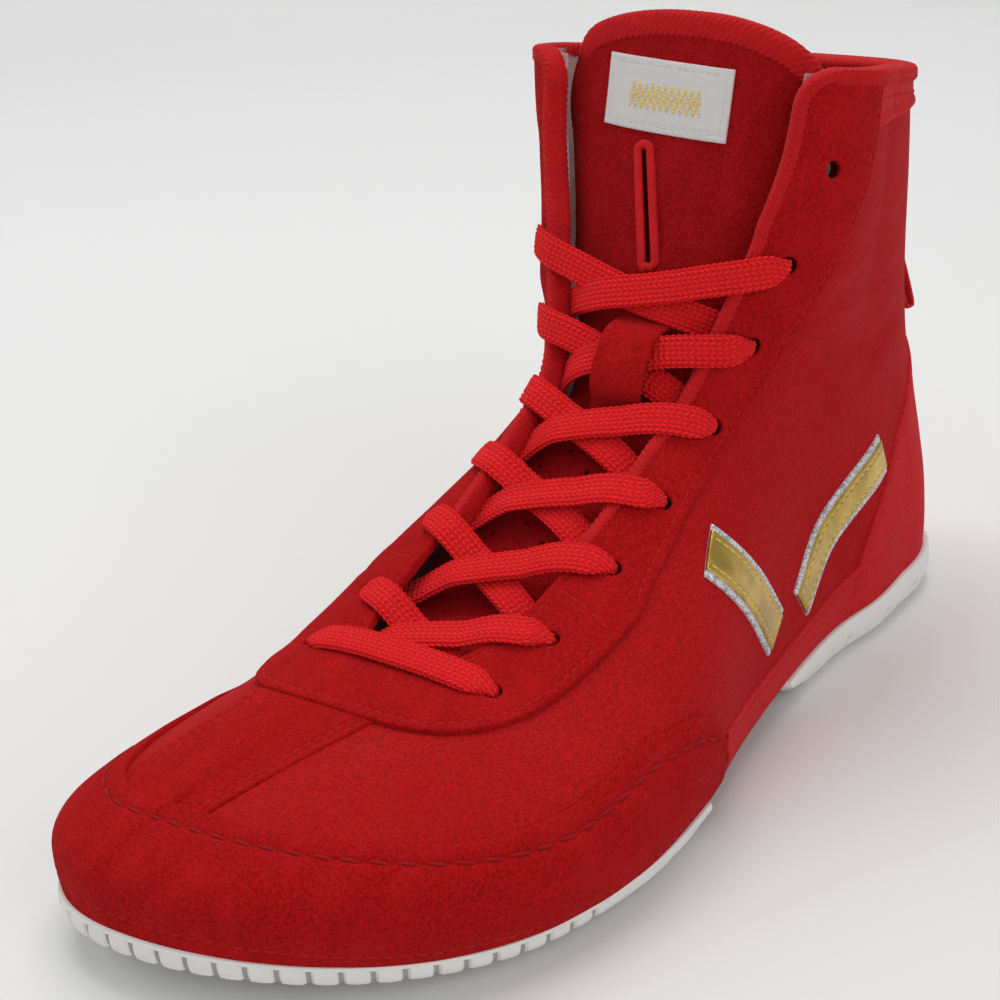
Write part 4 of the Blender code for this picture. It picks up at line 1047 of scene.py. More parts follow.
def build_toe():
    lower = ((0, 0), (3.0, 0.04), (3.6, -0.06), (4.0, -0.24), (4.4, -0.06), (5.0, 0.04), (6.6, 0))
    piece, sheet = panel("toe_guard", guard_place, (CUT, CUT, lower, ROPED), 1.35)
    dress(piece, RED_SUEDE, "front", "toe_guard")
    seam("guard_rope", sheet, ROPE_INSET, (0.006, 0.994), 400, 5.8, 0.5, True, -0.42,
         slant=0.5, fill=0.93, rise=0.6)
    seam("guard", sheet, 4.0, (0.02, 0.98), 400, 3.4)

    piece, _ = panel("toe_puff", lambda f, c: rim(Q_TIP + PUFF_REACH * (2 * f - 1), 1.5 + PUFF_HEIGHT * c),
                     (PLAIN,) * 4, *PUFF_LAYER, 3.0)
    dress(piece, BOARD, "front", "toe_puff")

    edge = guard_place(np.linspace(0.3, 0.7, 81), 0.94)

    def strip(f, c):
        middle, half = -5.9 + 1.7 * f, 14.7 + 3.7 * f
        w = middle + (2 * c - 1) * half
        first = s_at_t(250)
        for _ in range(3):
            first = s_at_t(np.interp(wrap(first, w)[..., 0], edge[::-1, 0], edge[::-1, 1]))
        return wrap(first + (s_at_t(STRIP_REAR) - first) * f, w)
    piece, sheet = panel("toe_strip", strip, (PLAIN, PLAIN, TWIN, TWIN), 0.7)
    dress(piece, RED_SUEDE, "front", "toe_strip")
    for distance in (1.6, 3.4):
        for far in (False, True):
            seam("strip", sheet, distance, (0.09, 0.98), 60, 2.6, FINE_THREAD, far)


def build_patch():
    def place(f, c):
        way = 2 * f - 1
        angle = pi / 2 * np.abs(way) ** 1.4
        ahead, aside = np.cos(angle), np.sin(angle)
        inner = np.stack([(S_PATCH - S_BOTTOM + 0.6) * ahead ** 0.67,
                          np.sign(way) * (THROAT_HALF + 0.6) * aside ** 0.67], -1)
        outer = np.stack([PATCH_REACH * ahead ** 0.6,
                          np.sign(way) * (PATCH_HALF - 3 * aside ** 8) * aside ** 0.6], -1)
        spot = inner + (outer - inner) * c[..., None]
        return wrap(S_PATCH + 0.8 - spot[..., 0], spot[..., 1])
    piece, sheet = panel("throat_patch", place, (SEWN, SEWN, SEWN, SEWN), 1.5)
    eyes = [EYELET_POINTS[side][k] for side in (1, -1) for k in (0, 1)]
    punch(piece, *skin(np.array(eyes)), EYELET_RADIUS)
    dress(piece, RED_SUEDE, "front", "throat_patch")
    seam("patch", sheet, SEAM_INSET, (0.03, 0.97), 200, SEAM_PITCH, far=True)
    seam("patch", sheet, SEAM_INSET, (0.03, 0.97), 200, SEAM_PITCH, 0.26)
    line, inset = sheet
    c = np.linspace(0.12, 0.88, 30)
    for share in (inset(SEAM_INSET, c), 1 - inset(SEAM_INSET, c)):
        stitch("patch", *line(share, c), SEAM_PITCH)


def build_eyestays():
    for side, name in SIDES:
        def stay(f, c):
            s = S_PATCH - 1.5 + (S_COLLAR + 0.5 - S_PATCH + 1.5) * f
            edge = throat_edge(s) + 1.2
            return wrap(s, side * (edge + (stay_edge(s) - edge) * c))
        piece, sheet = panel("eyestay_" + name, stay, (PLAIN, PLAIN, PLAIN, SEWN))
        points, outs = skin(EYELET_POINTS[side][2:])
        punch(piece, points, outs, EYELET_RADIUS)
        dress(piece, RED_SUEDE, "rear", "eyestay_" + name)
        seam("stay", sheet, SEAM_INSET, (0.03, 0.985), 200, SEAM_PITCH, far=True)

        def backer(f, c):
            s = S_PATCH + 2 + (S_COLLAR - CORNER_RADIUS - S_PATCH - 2) * f
            return wrap(s, side * (throat_edge(s) + 3 + 12.5 * c))
        piece, _ = panel("eyelet_backer_" + name, backer, (PLAIN,) * 4, *BACKER_LAYER, 3.0)
        punch(piece, points, outs, EYELET_RADIUS + 0.2, 6.0)
        dress(piece, (DARK_CLOTH, "inner_board"), "rear", "eyelet_backer_" + name)


# ---------------------------------------------------------------- tapes
def bell(radius, step):
    """Weights of a bell curve for points a step apart."""
    reach = int(radius / step * 3)
    return np.exp(-0.5 * (np.arange(-reach, reach + 1) * step / radius) ** 2)


def soften(values, weights, **edges):
    """Values along a line, each averaged with its neighbours; edges says how np.pad carries on."""
    reach = len(weights) // 2
    padded = np.pad(values, ((reach, reach), (0, 0)), **edges)
    return np.stack([np.convolve(padded[:, k], weights / weights.sum(), "valid") for k in range(3)], 1)


def on_boot(s, w, height=0.0, step=0.35, smooth=1.0):
    """A smoothed line at wrap coordinates: even points, directions ahead, out and across."""
    base, out = skin(wrap(s, w))
    points = base + out * (np.asarray(height) + relief(base))[..., None]
    _, points, out = resample(points, 0.2, out)
    points, out = [soften(values, bell(smooth, 0.2), mode="reflect", reflect_type="odd")
                   for values in (points, out)]
    _, points, out = resample(points, step, out)
    ahead = unit(np.gradient(points, axis=0))
    out = unit(out - ahead * (out * ahead).sum(-1, keepdims=True))
    return points, ahead, out, np.cross(ahead, out)


def twill(pitch, depth, lean=0.9):
    """Diagonal ribs, each a row of little floats."""
    def bump(along, about):
        rib = np.sin(2 * pi * (along + lean * about) / pitch)
        both = rib + 0.25 * np.sin(2 * pi * (along - 1.6 * about) / (pitch * 0.9))
        return depth * (np.abs(both) ** 0.8 * np.sign(both))
    return bump


def wrapped_edge(outer, inner, over, beyond=1.0):
    """Section of a tape folded over an edge: heights outside and inside, reach over the panel."""
    section = rounded(over + beyond, outer - inner, 40, 3.2)
    return section + np.array([(over - beyond) / 2, (outer + inner) / 2])


def build_bindings():
    for side, name in SIDES:
        corner = S_COLLAR - CORNER_RADIUS
        turn = np.linspace(0, pi / 2, 16)[1:]
        s = np.append(np.linspace(S_PATCH - 3, corner, 60), corner + CORNER_RADIUS * np.sin(turn))
        w = throat_edge(s)
        points, _, out, sideways = on_boot(s, side * w)
        ring = wrapped_edge(1.9, -4.0, 2.5, 0.9)
        if side > 0:
            ring = (ring * np.array([-1, 1]))[::-1]
        piece = sweep("throat_binding_" + name, points, sideways, out, ring, twill(1.7, 0.2))
        dress(piece, TAPE, "rear", "throat_binding_" + name)


def build_collar():
    """The binding round the top, and the raised band below it at the back."""
    start = float(throat_edge(S_COLLAR)) - 0.8
    whole = float(np.interp(S_COLLAR, WRAP_S, WRAP_W[:, -1] - WRAP_W[:, 0]))
    w = np.linspace(start, whole - start, 160)
    points, _, out, sideways = on_boot(np.full(160, S_COLLAR), w)
    share = np.linspace(0, 1, len(points))
    depth = 2.2 * np.clip(np.sin(pi * share) * 2.2 - 0.35, 0, 1)
    rings = np.stack([wrapped_edge(1.6, -3.8 - extra, 3.4) * np.array([-1, 1]) for extra in depth])[:, ::-1]
    piece = sweep("collar_binding", points, sideways, out, rings, twill(1.7, 0.2))
    dress(piece, TAPE, "shaft", "collar_binding")

    low = s_at_z(BAND_LOW)

    def band(f, c):
        return wrap(low + (S_COLLAR - 1 - low) * c, BAND_EDGE + (whole - 2 * BAND_EDGE) * f)
    piece, sheet = panel("collar_band", band, (CUT, CUT, RIDGED, PLAIN), 0.7)
    dress(piece, HEEL_CLOTH, "shaft", "collar_band")
    seam("band", sheet, 2.9, (0.02, 0.98), 150, SEAM_PITCH, above=-0.1)
    seam("band", sheet, 4.6, (0.02, 0.98), 150, SEAM_PITCH, far=True, above=0.0)


# ---------------------------------------------------------------- heel and side pieces
heel_height = smooth_curve((0, 66), (0.25, 61), (0.55, 47), (0.8, 31), (0.94, 17), (1, 5))


def build_heel():
    reach = {1: q_at_t(HEEL_COVER_END, 1), -1: Q_END - q_at_t(HEEL_COVER_END, -1)}

    def cover(f, c):
        way = 2 * f - 1
        q = np.where(way > 0, reach[1], reach[-1]) * way
        return rim(q, 0.2 + (heel_height(np.abs(way)) - 0.2) * c)
    piece, sheet = panel("heel_cover", cover, (SEWN, SEWN, PLAIN, SEWN), 0.9)
    dress(piece, HEEL_CLOTH, "rear", "heel_cover")
    seam("heel", sheet, SEAM_INSET, (0.02, 0.98), 300, HEEL_PITCH, FINE_THREAD, True)

    def counter(f, c):
        way = 2 * f - 1
        return rim(COUNTER_REACH * way, 1.5 + COUNTER_SHARE * heel_height(np.abs(way) * 0.9) * c)
    piece, _ = panel("heel_counter", counter, (PLAIN,) * 4, *COUNTER_LAYER, 3.5)
    dress(piece, BOARD, "rear", "heel_counter")

    for side, name in SIDES:
        first, last = q_at_t(HEEL_COVER_END - 4, side), q_at_t(GUARD_END + 2, side)

        def foxing(f, c):
            return rim(first + (last - first) * f, 0.2 + (11.5 + 3 * (2 * f - 1) ** 2) * c)
        piece, sheet = panel("foxing_" + name, foxing, (PLAIN, PLAIN, PLAIN, SEWN), 0.8)
        dress(piece, HEEL_CLOTH, "rear", "foxing_" + name)
        seam("heel", sheet, SEAM_INSET, (0.05, 0.95), 120, HEEL_PITCH, FINE_THREAD, True)


def build_pull_tab():
    """A loop of tape hanging down the back from its upper end."""
    turn = np.linspace(0, 1, 60)
    drop = np.minimum(np.minimum(turn, 1 - turn) * 2.3, 1)
    z = TAB_TOP - (TAB_TOP - TAB_LOW) * drop
    base, _ = skin(hit(np.stack([0 * z, np.full_like(z, HEEL_CENTRE), z], -1), np.array([0.0, -1.0, 0.0])))
    outer = np.clip((turn - 0.42) / 0.16, 0, 1)
    away = 2.3 + 9.2 * drop ** 1.5 + outer * (1.5 + 3.2 * np.sin(pi * 0.8 * drop))
    points = base - np.array([0, 1.0, 0]) * away[:, None]
    _, points = resample(points, 0.5)
    ahead = unit(np.gradient(points, axis=0))
    sideways = np.broadcast_to(np.array([1.0, 0, 0]), points.shape)
    out = np.cross(sideways, ahead)
    piece = sweep("pull_tab", points, sideways, out, rounded(TAB_WIDTH, 1.3, 44, 5.0), twill(1.3, 0.07))
    dress(piece, HEEL_CLOTH, "pull_tab", "pull_tab")


def side_point(t, z):
    return hit(np.stack([centre(t), t, z], -1), np.array([1.0, 0.0, 0.0]))


def build_bands():
    """Two plain gold bands on the lateral side, each over a silver-edged backing."""
    lines = {
        "saddle": (smooth_curve((0, 141), (0.5, 127), (1, 116)),
                   smooth_curve((0, 59), (0.5, 43), (1, 28)), 13.0),
        "heel": (smooth_curve((0, 99), (0.5, 80), (1, 52)),
                 smooth_curve((0, 28), (0.5, 42), (1, 52)), 12.0),
    }
    cord = ((0.0, -0.3), (0.1, -0.1), (0.35, 0.15), (0.7, 0.22), (1.05, 0.12), (1.3, -0.05), (1.6, 0.0))
    film = ((0.0, -0.45), (0.1, -0.15), (0.4, 0.0), (1.3, 0.05), (1.65, -0.16), (2.0, 0.05), (2.8, 0.08))
    for name, (line_t, line_z, width) in lines.items():
        for kind, half in (("edging", width / 2), ("band", width / 2 - 1.6)):
            def place(f, c):
                t, z = line_t(f), line_z(f)
                along_t = line_t(f + 0.02) - line_t(f - 0.02)
                along_z = line_z(f + 0.02) - line_z(f - 0.02)
                size = np.hypot(along_t, along_z)
                away = (2 * c - 1) * half
                return side_point(t - along_z / size * away, z + along_t / size * away)
            if kind == "edging":
                piece, _ = panel(name + "_edging", place, (CUT, CUT, cord, cord), 0.75, SUNK, 0.8)
                dress(piece, SILVER, "rear", name + "_edging")
                continue
            piece, sheet = panel(name + "_band", place, (CUT, CUT, film, film), 1.2, 0.2, 0.8)
            dress(piece, GOLD, "rear", name + "_band")
            for far in (False, True):
                seam("gold", sheet, 1.65, (0.02, 0.98), 80, 2.5, 0.26, far, -0.1)


# ---------------------------------------------------------------- tongue
SLOT_LOW, SLOT_HIGH, SLOT_HALF = 118.0, 141.0, 1.3
SLOT_SHIFTS = (-1.0, -7.0)     # of its two ends towards the medial side
LABEL_LOW, LABEL_HIGH, LABEL_HALF = 145.5, 162.0, 19.0
tongue_half = smooth_curve((s_at_t(TONGUE_TOE), 19), (S_PATCH, 27), (s_at_t(130), 33), (s_at_z(100), 38),
                           (s_at_z(130), 42), (s_at_z(150), 45.5), (S_TONGUE_TOP, 46))
TONGUE_FACE = -7.4             # height of its face over the boot's surface
TONGUE_LAYER = (TONGUE_FACE, TONGUE_FACE - 1.8)
TONGUE_LINING_LAYER = (TONGUE_FACE - 2.3, TONGUE_FACE - 5.0)


def tongue_arch(way):
    """How far below its top the tongue's edge lies; the medial corner is cut away more."""
    return TONGUE_ARCH * np.abs(way) ** 2.3 + 15 * np.clip((-way - 0.66) / 0.34, 0, 1) ** 1.6


def tongue_part(first, last, trim=0.0):
    """The tongue's surface between two stations; last None means up to its arched top."""
    def place(f, c):
        way = 2 * c - 1
        end = last if last is not None else S_TONGUE_TOP - trim - tongue_arch(way)
        s = first + (end - first) * f
        return wrap(s, way * (tongue_half(s) - trim))
    return place


def stadium(radius, count=200):
    """(s, w) round the slot, at a distance from its middle line."""
    low, high = s_at_z(SLOT_LOW), s_at_z(SLOT_HIGH)
    angle = np.linspace(0, 2 * pi, count + 1)[:-1]
    s = (low + high) / 2 + (high - low) / 2 * np.sign(np.cos(angle)) + radius * np.cos(angle)
    return s, np.interp(s, (low, high), SLOT_SHIFTS) + radius * np.sin(angle)


def build_tongue():
    split = s_at_z(TONGUE_SPLIT)
    lower, _ = panel("tongue_lower", tongue_part(s_at_t(TONGUE_TOE), split), (PLAIN, PLAIN, CUT, CUT),
                     *TONGUE_LAYER)
    holes = [wrap(EYELET_S[k] + rise, w - 5)
             for k in (2, 3) for rise, w in ((5.0, 0.0), (0.5, -8.0), (0.5, 8.0))]
    punch(lower, *skin(np.array(holes)), 0.8, 12.0, 12)
    dress(lower, DEEP_SUEDE, "rear", "tongue")

    upper, _ = panel("tongue_upper", tongue_part(split, None), (PLAIN, SEWN, CUT, CUT), *TONGUE_LAYER)
    s, w = stadium(SLOT_HALF, 48)
    ring, outs = skin(wrap(s, w))
    axis = unit(outs.mean(0))
    cutter = np.concatenate([ring - axis * 16, ring + axis * 3])
    cut_away(upper, make("slot_cutter", cutter, tube_faces(2, 48)))
    dress(upper, DEEP_SUEDE, "top", "tongue")


def build_slot():
    """A dark cloth sheet behind the slot as painted shade inside it, and the satin-stitched rim round it."""
    s, _ = stadium(5.0, 60)
    s_span = (s.min(), s.max())

    def slot_shade(f, c):
        s = s_span[0] + (s_span[1] - s_span[0]) * f
        return wrap(s, np.interp(s, s_span, SLOT_SHIFTS) + (2 * c - 1) * 5)
    # painted shade: near-black cloth just under the slot stands in for the shade inside it
    piece, _ = panel("tongue_slot_shade", slot_shade, (PLAIN,) * 4, TONGUE_FACE - 1.7, TONGUE_FACE - 2.2, 1.5)
    dress(piece, (DARK_CLOTH, "suede"), "top", "tongue")

    s, w = stadium(SLOT_HALF + 0.7)
    base, out = skin(wrap(np.append(s, s[0]), np.append(w, w[0])))
    points = base + out * (TONGUE_FACE + 0.15 + relief(base))[:, None]
    _, points, out = resample(points, 0.14, out)
    points, out = points[:-1], out[:-1]
    ahead = unit(np.roll(points, -1, 0) - np.roll(points, 1, 0))
    sideways = np.cross(ahead, out)

    def satin(along, about):
        return 0.09 * np.abs(np.sin(pi * along / 0.56)) ** 0.7 + 0 * about
    piece = sweep("lace_slot_trim", points, sideways, out, rounded(2.1, 1.5, 20), satin, closed=True)
    dress(piece, SATIN, "top", "lace_slot_trim")


def build_tongue_lining():
    split = s_at_z(TONGUE_SPLIT)
    for part, first, last, way in (("lower", s_at_t(TONGUE_TOE), split, "rear"),
                                   ("upper", split, None, "top")):
        pad, _ = panel("tongue_lining_" + part, tongue_part(first, last, 1.6), (PLAIN,) * 4,
                       *TONGUE_LINING_LAYER, STEP * 1.5)
        dress(pad, LINING, way, "tongue_lining")


def build_tongue_binding():
    """A broad roll of tape over the tongue's arched top and a short way down its lateral side."""
    way = np.linspace(-0.9, 1, 200)
    arch_s = S_TONGUE_TOP - tongue_arch(way)
    side_s = np.linspace(S_TONGUE_TOP - 27, S_TONGUE_TOP - TONGUE_ARCH, 12)[:-1]
    s = np.concatenate([arch_s, side_s[::-1]])
    w = np.concatenate([way * tongue_half(arch_s), tongue_half(side_s[::-1])])
    tuck = 1.6 * np.clip((-0.72 - np.append(way, side_s * 0)) / 0.18, 0, 1)
    points, _, out, sideways = on_boot(s, w, TONGUE_FACE - 2.3 - tuck, smooth=2.2)
    section = rounded(6.6, 5.6, 40, 3.0) * np.array([-1, 1]) + np.array([-1.6, 0])
    lip = 0.35 * np.exp(-((section[:, :1] + 4.3) / 0.5) ** 2) * np.array([[0, 1]])
    piece = sweep("tongue_binding", points, sideways, out, (section + lip)[::-1], twill(1.8, 0.22, 0.75))
    dress(piece, TAPE, "tongue_top", "tongue_binding")


def build_label():
    """A plain white label with two rows of gold zigzag."""
    low, high = s_at_z(LABEL_LOW), s_at_z(LABEL_HIGH)

    def label(f, c):
        w = (2 * c - 1) * LABEL_HALF
        return wrap(low + (high - low) * f - 0.05 * w, w - 2.4)
    edge = ((0.0, -0.35), (0.1, -0.1), (0.3, 0.0), (1.2, 0.02), (1.6, -0.12), (2.0, 0.02), (3.0, 0.03))
    piece, sheet = panel("tongue_label", label, (edge,) * 4, TONGUE_FACE + 0.75, TONGUE_FACE - 0.3, 0.8)
    dress(piece, LABEL, "tongue_top", "tongue_label")
    line, _ = sheet
    along = np.linspace(0.1, 0.9, 40)
    for share in (0.09, 0.91):
        stitch("tongue_label", *line(0 * along + share, along, -0.08), 2.0, 0.2)
        stitch("tongue_label", *line(along, 0 * along + (share - 0.5) * 1.1 + 0.5, -0.08), 2.0, 0.2)
    teeth = np.linspace(0.22, 0.78, 23)
    for level in (0.40, 0.56):
        zigzag = level + 0.1 * np.where(np.arange(23) % 2, 1, -1)
        stitch("tongue_zigzag", *line(zigzag, teeth, 0.0), 0.85, 0.26, fill=1.15)


def build_keeper():
    """A strap of suede over the lace crossing below the slot, sewn down at both ends."""
    middle = (EYELET_S[4] + EYELET_S[5]) / 2 - 1.5
    reach = np.array([-13.0, -11.6, -10.2, -7.5, -4.0, 0, 3.5, 6.5, 9.0, 10.5, 11.5])
    height = np.array([-6.7, -6.3, -4.6, 0.6, 2.2, 2.6, 2.4, 1.4, -2.6, -6.2, -6.7])
    points, _, out, sideways = on_boot(middle + reach, np.linspace(3.6, 4.4, 11), height, 0.6, 1.4)
    piece = sweep("lace_keeper", points, sideways, out, rounded(14.0, 1.3, 60, 6.0))
    dress(piece, RED_SUEDE, "rear", "lace_keeper")


# ---------------------------------------------------------------- lace
INSIDE = -4.7                  # height of the lace under the flaps
OVER = 2.7                     # and over them
LEVELS = {1: -2.7, -1: -0.35}  # at the crossings, by the side a run starts from


def run_knots(lower, upper, side):
    """(s, w, height) from inside the lower eyelet, on the given side, to outside the upper one."""
    s0, w0 = EYELET_S[lower], side * EYELET_W[lower]
    s1, w1 = EYELET_S[upper], -side * EYELET_W[upper]
    edge = EYELET_INSET / abs(w1 - w0)
    level = LEVELS[side]
    profile = ((0, INSIDE), (0.6 * edge, INSIDE), (1.1 * edge, INSIDE + 0.5), (0.36, level - 0.1),
               (0.5, level), (0.64, level + 0.1), (1 - 1.25 * edge, OVER - 0.2), (1 - 0.9 * edge, OVER + 0.1),
               (1 - 0.45 * edge, OVER - 0.1), (1 - 0.15 * edge, OVER - 0.7), (1, OVER - 1.3))
    sag = 1.1 + 0.24 * side
    return [(s0 + (s1 - s0) * u - sag * np.sin(pi * u), w0 + (w1 - w0) * u, height)
            for u, height in profile]


def lace_knots():
    """The whole lace from one tucked end to the other."""
    halves = []
    for start in (1, -1):
        top = LACED - 1
        half = [(EYELET_S[top] + 12, start * (EYELET_W[top] + 2), INSIDE),
                (EYELET_S[top] + 5, start * (EYELET_W[top] + 1), INSIDE),
                (EYELET_S[top], start * EYELET_W[top], INSIDE)]
        side = start
        for upper in range(top, 0, -1):
            half += run_knots(upper - 1, upper, -side)[::-1]
            side = -side
        halves.append((half, side))
    (first, side), (second, _) = halves
    u = np.linspace(0, 1, 9)
    rise = np.sin(pi * u)
    bar = zip(EYELET_S[0] - 1.2 * rise, side * EYELET_W[0] * (1 - 2 * u), OVER - 1 + 1.2 * rise ** 0.5)
    return first + list(bar) + second[::-1]


def braid(along, about):
    """Columns of small slanting stitches that point in turn to one side and the other."""
    share = np.mod(about / BRAID_COLUMN, 1)
    lean = np.where(np.mod(np.floor(about / BRAID_COLUMN), 2) > 0, 1, -1)
    strand = np.abs(np.sin(pi * (along / BRAID_PITCH + lean * (share - 0.5) * 0.7)))
    return 0.4 * strand ** 0.7 * np.sin(pi * share) ** 0.6 - 0.2


def build_lace():
    knots = np.array(lace_knots())
    s, w, height = [np.concatenate([np.linspace(a, b, 9)[:-1] for a, b in zip(v, v[1:])]) for v in knots.T]
    base, out = skin(wrap(s, w))
    rising = unit(wrap(s + 0.6, w) - wrap(s - 0.6, w))
    points = base + out * (height + relief(base))[:, None]
    keep = np.concatenate([[True], np.linalg.norm(np.diff(points, axis=0), axis=1) > 0.02])
    points, out, rising = points[keep], out[keep], rising[keep]
    _, points, out, rising = resample(points, 0.25, out, rising)
    points = soften(points, bell(1.0, 0.25), mode="edge")
    _, points, out, rising = resample(points, 0.3, out, rising)
    ahead = unit(np.gradient(points, axis=0))
    steep = np.abs((ahead * out).sum(-1))[:, None]
    flat = np.cross(out, unit(ahead - out * (ahead * out).sum(-1, keepdims=True)))
    flat = flat * np.sign((flat * rising).sum(-1, keepdims=True))
    sideways = soften(np.where(steep > 0.7, rising, flat), np.hanning(13), mode="edge")
    sideways = unit(sideways - ahead * (sideways * ahead).sum(-1, keepdims=True))
    up = np.cross(ahead, sideways)
    near = np.full(len(points), 99.0)
    for side in (1, -1):
        eyes, ways = skin(EYELET_POINTS[side][:LACED])
        for eye, way in zip(eyes, ways):
            near = np.minimum(near, np.linalg.norm(points - (eye + way * 0.2), axis=1))
    width = LACE_WIDTH - 5.0 * np.exp(-(near / 3.4) ** 2)
    thick = LACE_THICK + 0.3 * np.exp(-(near / 2.7) ** 2)
    section = rounded(1.0, 1.0, 54, 4.0)[None] * np.stack([width, thick], -1)[:, None]
    piece = sweep("lace", points, sideways, up, section, braid)
    dress(piece, LACE, "rear", "lace")

    for name, end, away in (("lateral", 0, 12), ("medial", -1, -13)):
        way = unit(points[end] - points[away])
        marks = np.linspace(-1.5, 12, 28)
        centres = points[end] + marks[:, None] * way
        girth = 1.5 - 0.5 * np.clip((marks - 10) / 2, 0, 1) ** 2
        rings = rounded(2.0, 2.0, 20, 2.0)[None] * girth[:, None, None]
        end_side = np.broadcast_to(sideways[end], centres.shape)
        end_up = np.broadcast_to(up[end], centres.shape)
        piece = sweep("aglet_" + name, centres, end_side, end_up, rings)
        dress(piece, PLASTIC, "shaft", "aglet_" + name)


# ---------------------------------------------------------------- sole
def forefoot_ground(t):
    return 8.5 * (np.maximum(t - 222, 0) / 58) ** 2 + 3.5 * (np.maximum(178 - t, 0) / 15) ** 2


def heel_ground(t):
    return 5 * (np.maximum(t - 82, 0) / 23) ** 2 + 3 * (np.maximum(8 - t, 0) / 8) ** 2


GROOVE_PITCH = 6.4
SAMPLES = 12      # points round the rim for each groove pitch


def rim_loop(first, last, closing):
    """Points round a sole unit, their outward directions and q; closing gives points across its cut end."""
    count = int(round((last - first) / GROOVE_PITCH)) * SAMPLES
    q = first + (last - first) * np.arange(count + 1) / count
    points = rim(q, 0.0)
    out = unit(skin(points)[1] * np.array([1.0, 1.0, 0.0]))
    if closing:
        share = np.linspace(0, 1, 34)[1:-1, None]
        points = np.concatenate([points, points[-1] + (points[0] - points[-1]) * share])
        out = np.concatenate([out, np.broadcast_to(np.array([0.0, closing, 0.0]), (32, 3))])
        q = np.concatenate([q, np.full(32, -1.0)])
    return points, out, q


def spine(points, low, high):
    """Nearest points of the middle line, kept clear of both ends."""
    t = np.clip(points[:, 1], low, high)
    return np.stack([centre(t) + 0 * t, t], -1)


def ring_solid(name, rings):
    """A closed solid through rings of points from inside the top face, round the rim, to the bottom."""
    return make(name, np.concatenate(rings), tube_faces(len(rings), len(rings[0])), sharp=0.7)


def sole_unit(name, first, last, closing, ground, limits, profile, groove, tread, way):
    """One rubber unit, from its top face over the wall and the chamfer to the tread.

    profile(t) gives the wall's height and how far in the tread starts, groove(q, t, share) the depth
    cut into the wall and where its floor is grey.
    """
    points, out, q = rim_loop(first, last, closing)
    t = points[:, 1]
    middle = spine(points, *limits)
    wall, inset = profile(t)

    def ring(grow, z):
        spot = points + out * np.broadcast_to(grow, t.shape)[:, None]
        return np.column_stack([spot[:, :2], z])

    def towards(ring_points, share, z):
        flat = ring_points[:, :2] + (middle - ring_points[:, :2]) * share
        return np.column_stack([flat, z])
    lip, low = feather(t) + 0.45, ground(t)
    foot = np.maximum(lip - wall, low + 1.0)
    rings = [towards(ring(-3.0, lip), share, lip - 0.9) for share in (0.96, 0.6, 0.25)]
    rings += [ring(grow, lip - below)
              for grow, below in ((-1.5, 0.7), (0.9, 0.15), (1.7, 0.0), (2.15, 0.2), (2.3, 0.6))]
    start = len(rings)
    shares = np.linspace(0, 1, 13)[1:]
    marks = np.zeros((len(shares), len(t)), bool)
    for k, share in enumerate(shares):
        z = (lip - 0.6) * (1 - share) + foot * share
        depth, marks[k] = groove(q, t, share)
        rings.append(ring(2.3 + 0.2 * np.sin(pi * share) - 0.5 * share ** 3 - depth, z))
    for share in (0.06, 0.15, 0.3, 0.5, 0.7, 0.88, 0.97):
        grow = 1.8 - depth * (1 - share) ** 2 - (1.8 + inset) * share
        rings.append(ring(grow, foot - (foot - low) * share ** 0.85))
    border = ring(-inset, low)
    for share in np.concatenate([[0.0], np.linspace(0.03, 0.96, 34)]):
        spot = towards(border, share, low)
        cover = np.clip(share * 12 - 0.2, 0, 1)
        spot[:, 2] = ground(spot[:, 1]) + tread(spot[:, 0], spot[:, 1]) * cover
        rings.append(spot)
    piece = ring_solid(name, rings)
    dress(piece, RUBBER, way, name)
    piece.data.materials.append(RUBBER_GREY)
    indices = np.zeros(len(piece.data.polygons), np.int32)
    count = len(t)
    for k in range(len(shares) - 1):
        both = marks[k] & marks[k + 1] & np.roll(marks[k], -1) & np.roll(marks[k + 1], -1)
        row = (start + k) * count
        indices[row:row + count][both] = 1
    piece.data.polygons.foreach_set("material_index", indices)


def window(value, low, high):
    return (value >= low) & (value <= high)


forefoot_wall = smooth_curve((163, 2.4), (180, 3.2), (215, 3.3), (250, 3.9), (280, 5.0))


def forefoot_groove(q, t, share):
    """Upright slots round the toe; two wavy lines towards the waist."""
    phase = np.mod((q - q[0]) / GROOVE_PITCH, 1)
    slot = window(phase, 0.36, 0.60) & (t > 205) & (share > 0.12) & (q >= 0)
    depth = np.where(slot, 0.6, 0.0)
    waist = np.clip((203 - t) / 8, 0, 1) * np.clip((t - 163) / 4, 0, 1) * (q >= 0)
    for level in (0.42, 0.75):
        line = level + 0.14 * np.sin(2 * pi * q / 15)
        depth = depth + 0.55 * waist * np.exp(-((share - line) / 0.10) ** 2)
    scallop = np.where((t > 205) & (q >= 0), 0.12 * np.cos(2 * pi * (phase - 0.47)), 0) * share ** 2
    return depth + scallop, slot


def heel_groove(q, t, share):
    """A stepped line with the tread blocks set back below it, and notches at its steps."""
    step = np.mod((q + 1000) / 19.0, 1)
    line = np.where(step < 0.5, 0.56, 0.74)
    notch = window(np.mod(step * 2, 1), 0.0, 0.16) & (share > 0.5)
    depth = np.where(share > line, 0.7, 0.0) + np.where(notch, 0.5, 0.0)
    return depth, np.zeros(len(t), bool)


def wavy_ribs(x, t):
    return np.sin(2 * pi * (t + 2.2 * np.sin(2 * pi * x / 17)) / 7.5)


def tread_depth(pattern):
    return 1.3 * np.clip((0.25 - pattern) * 3, 0, 1)


def forefoot_tread(x, t):
    """Ribs in waves, with a ring pattern under the ball of the foot."""
    away = np.hypot(x - centre(t) - 6, t - 196)
    return tread_depth(np.where(away < 21, np.sin(2 * pi * away / 6.0), wavy_ribs(x, t)))


def heel_tread(x, t):
    return tread_depth(wavy_ribs(x, t))


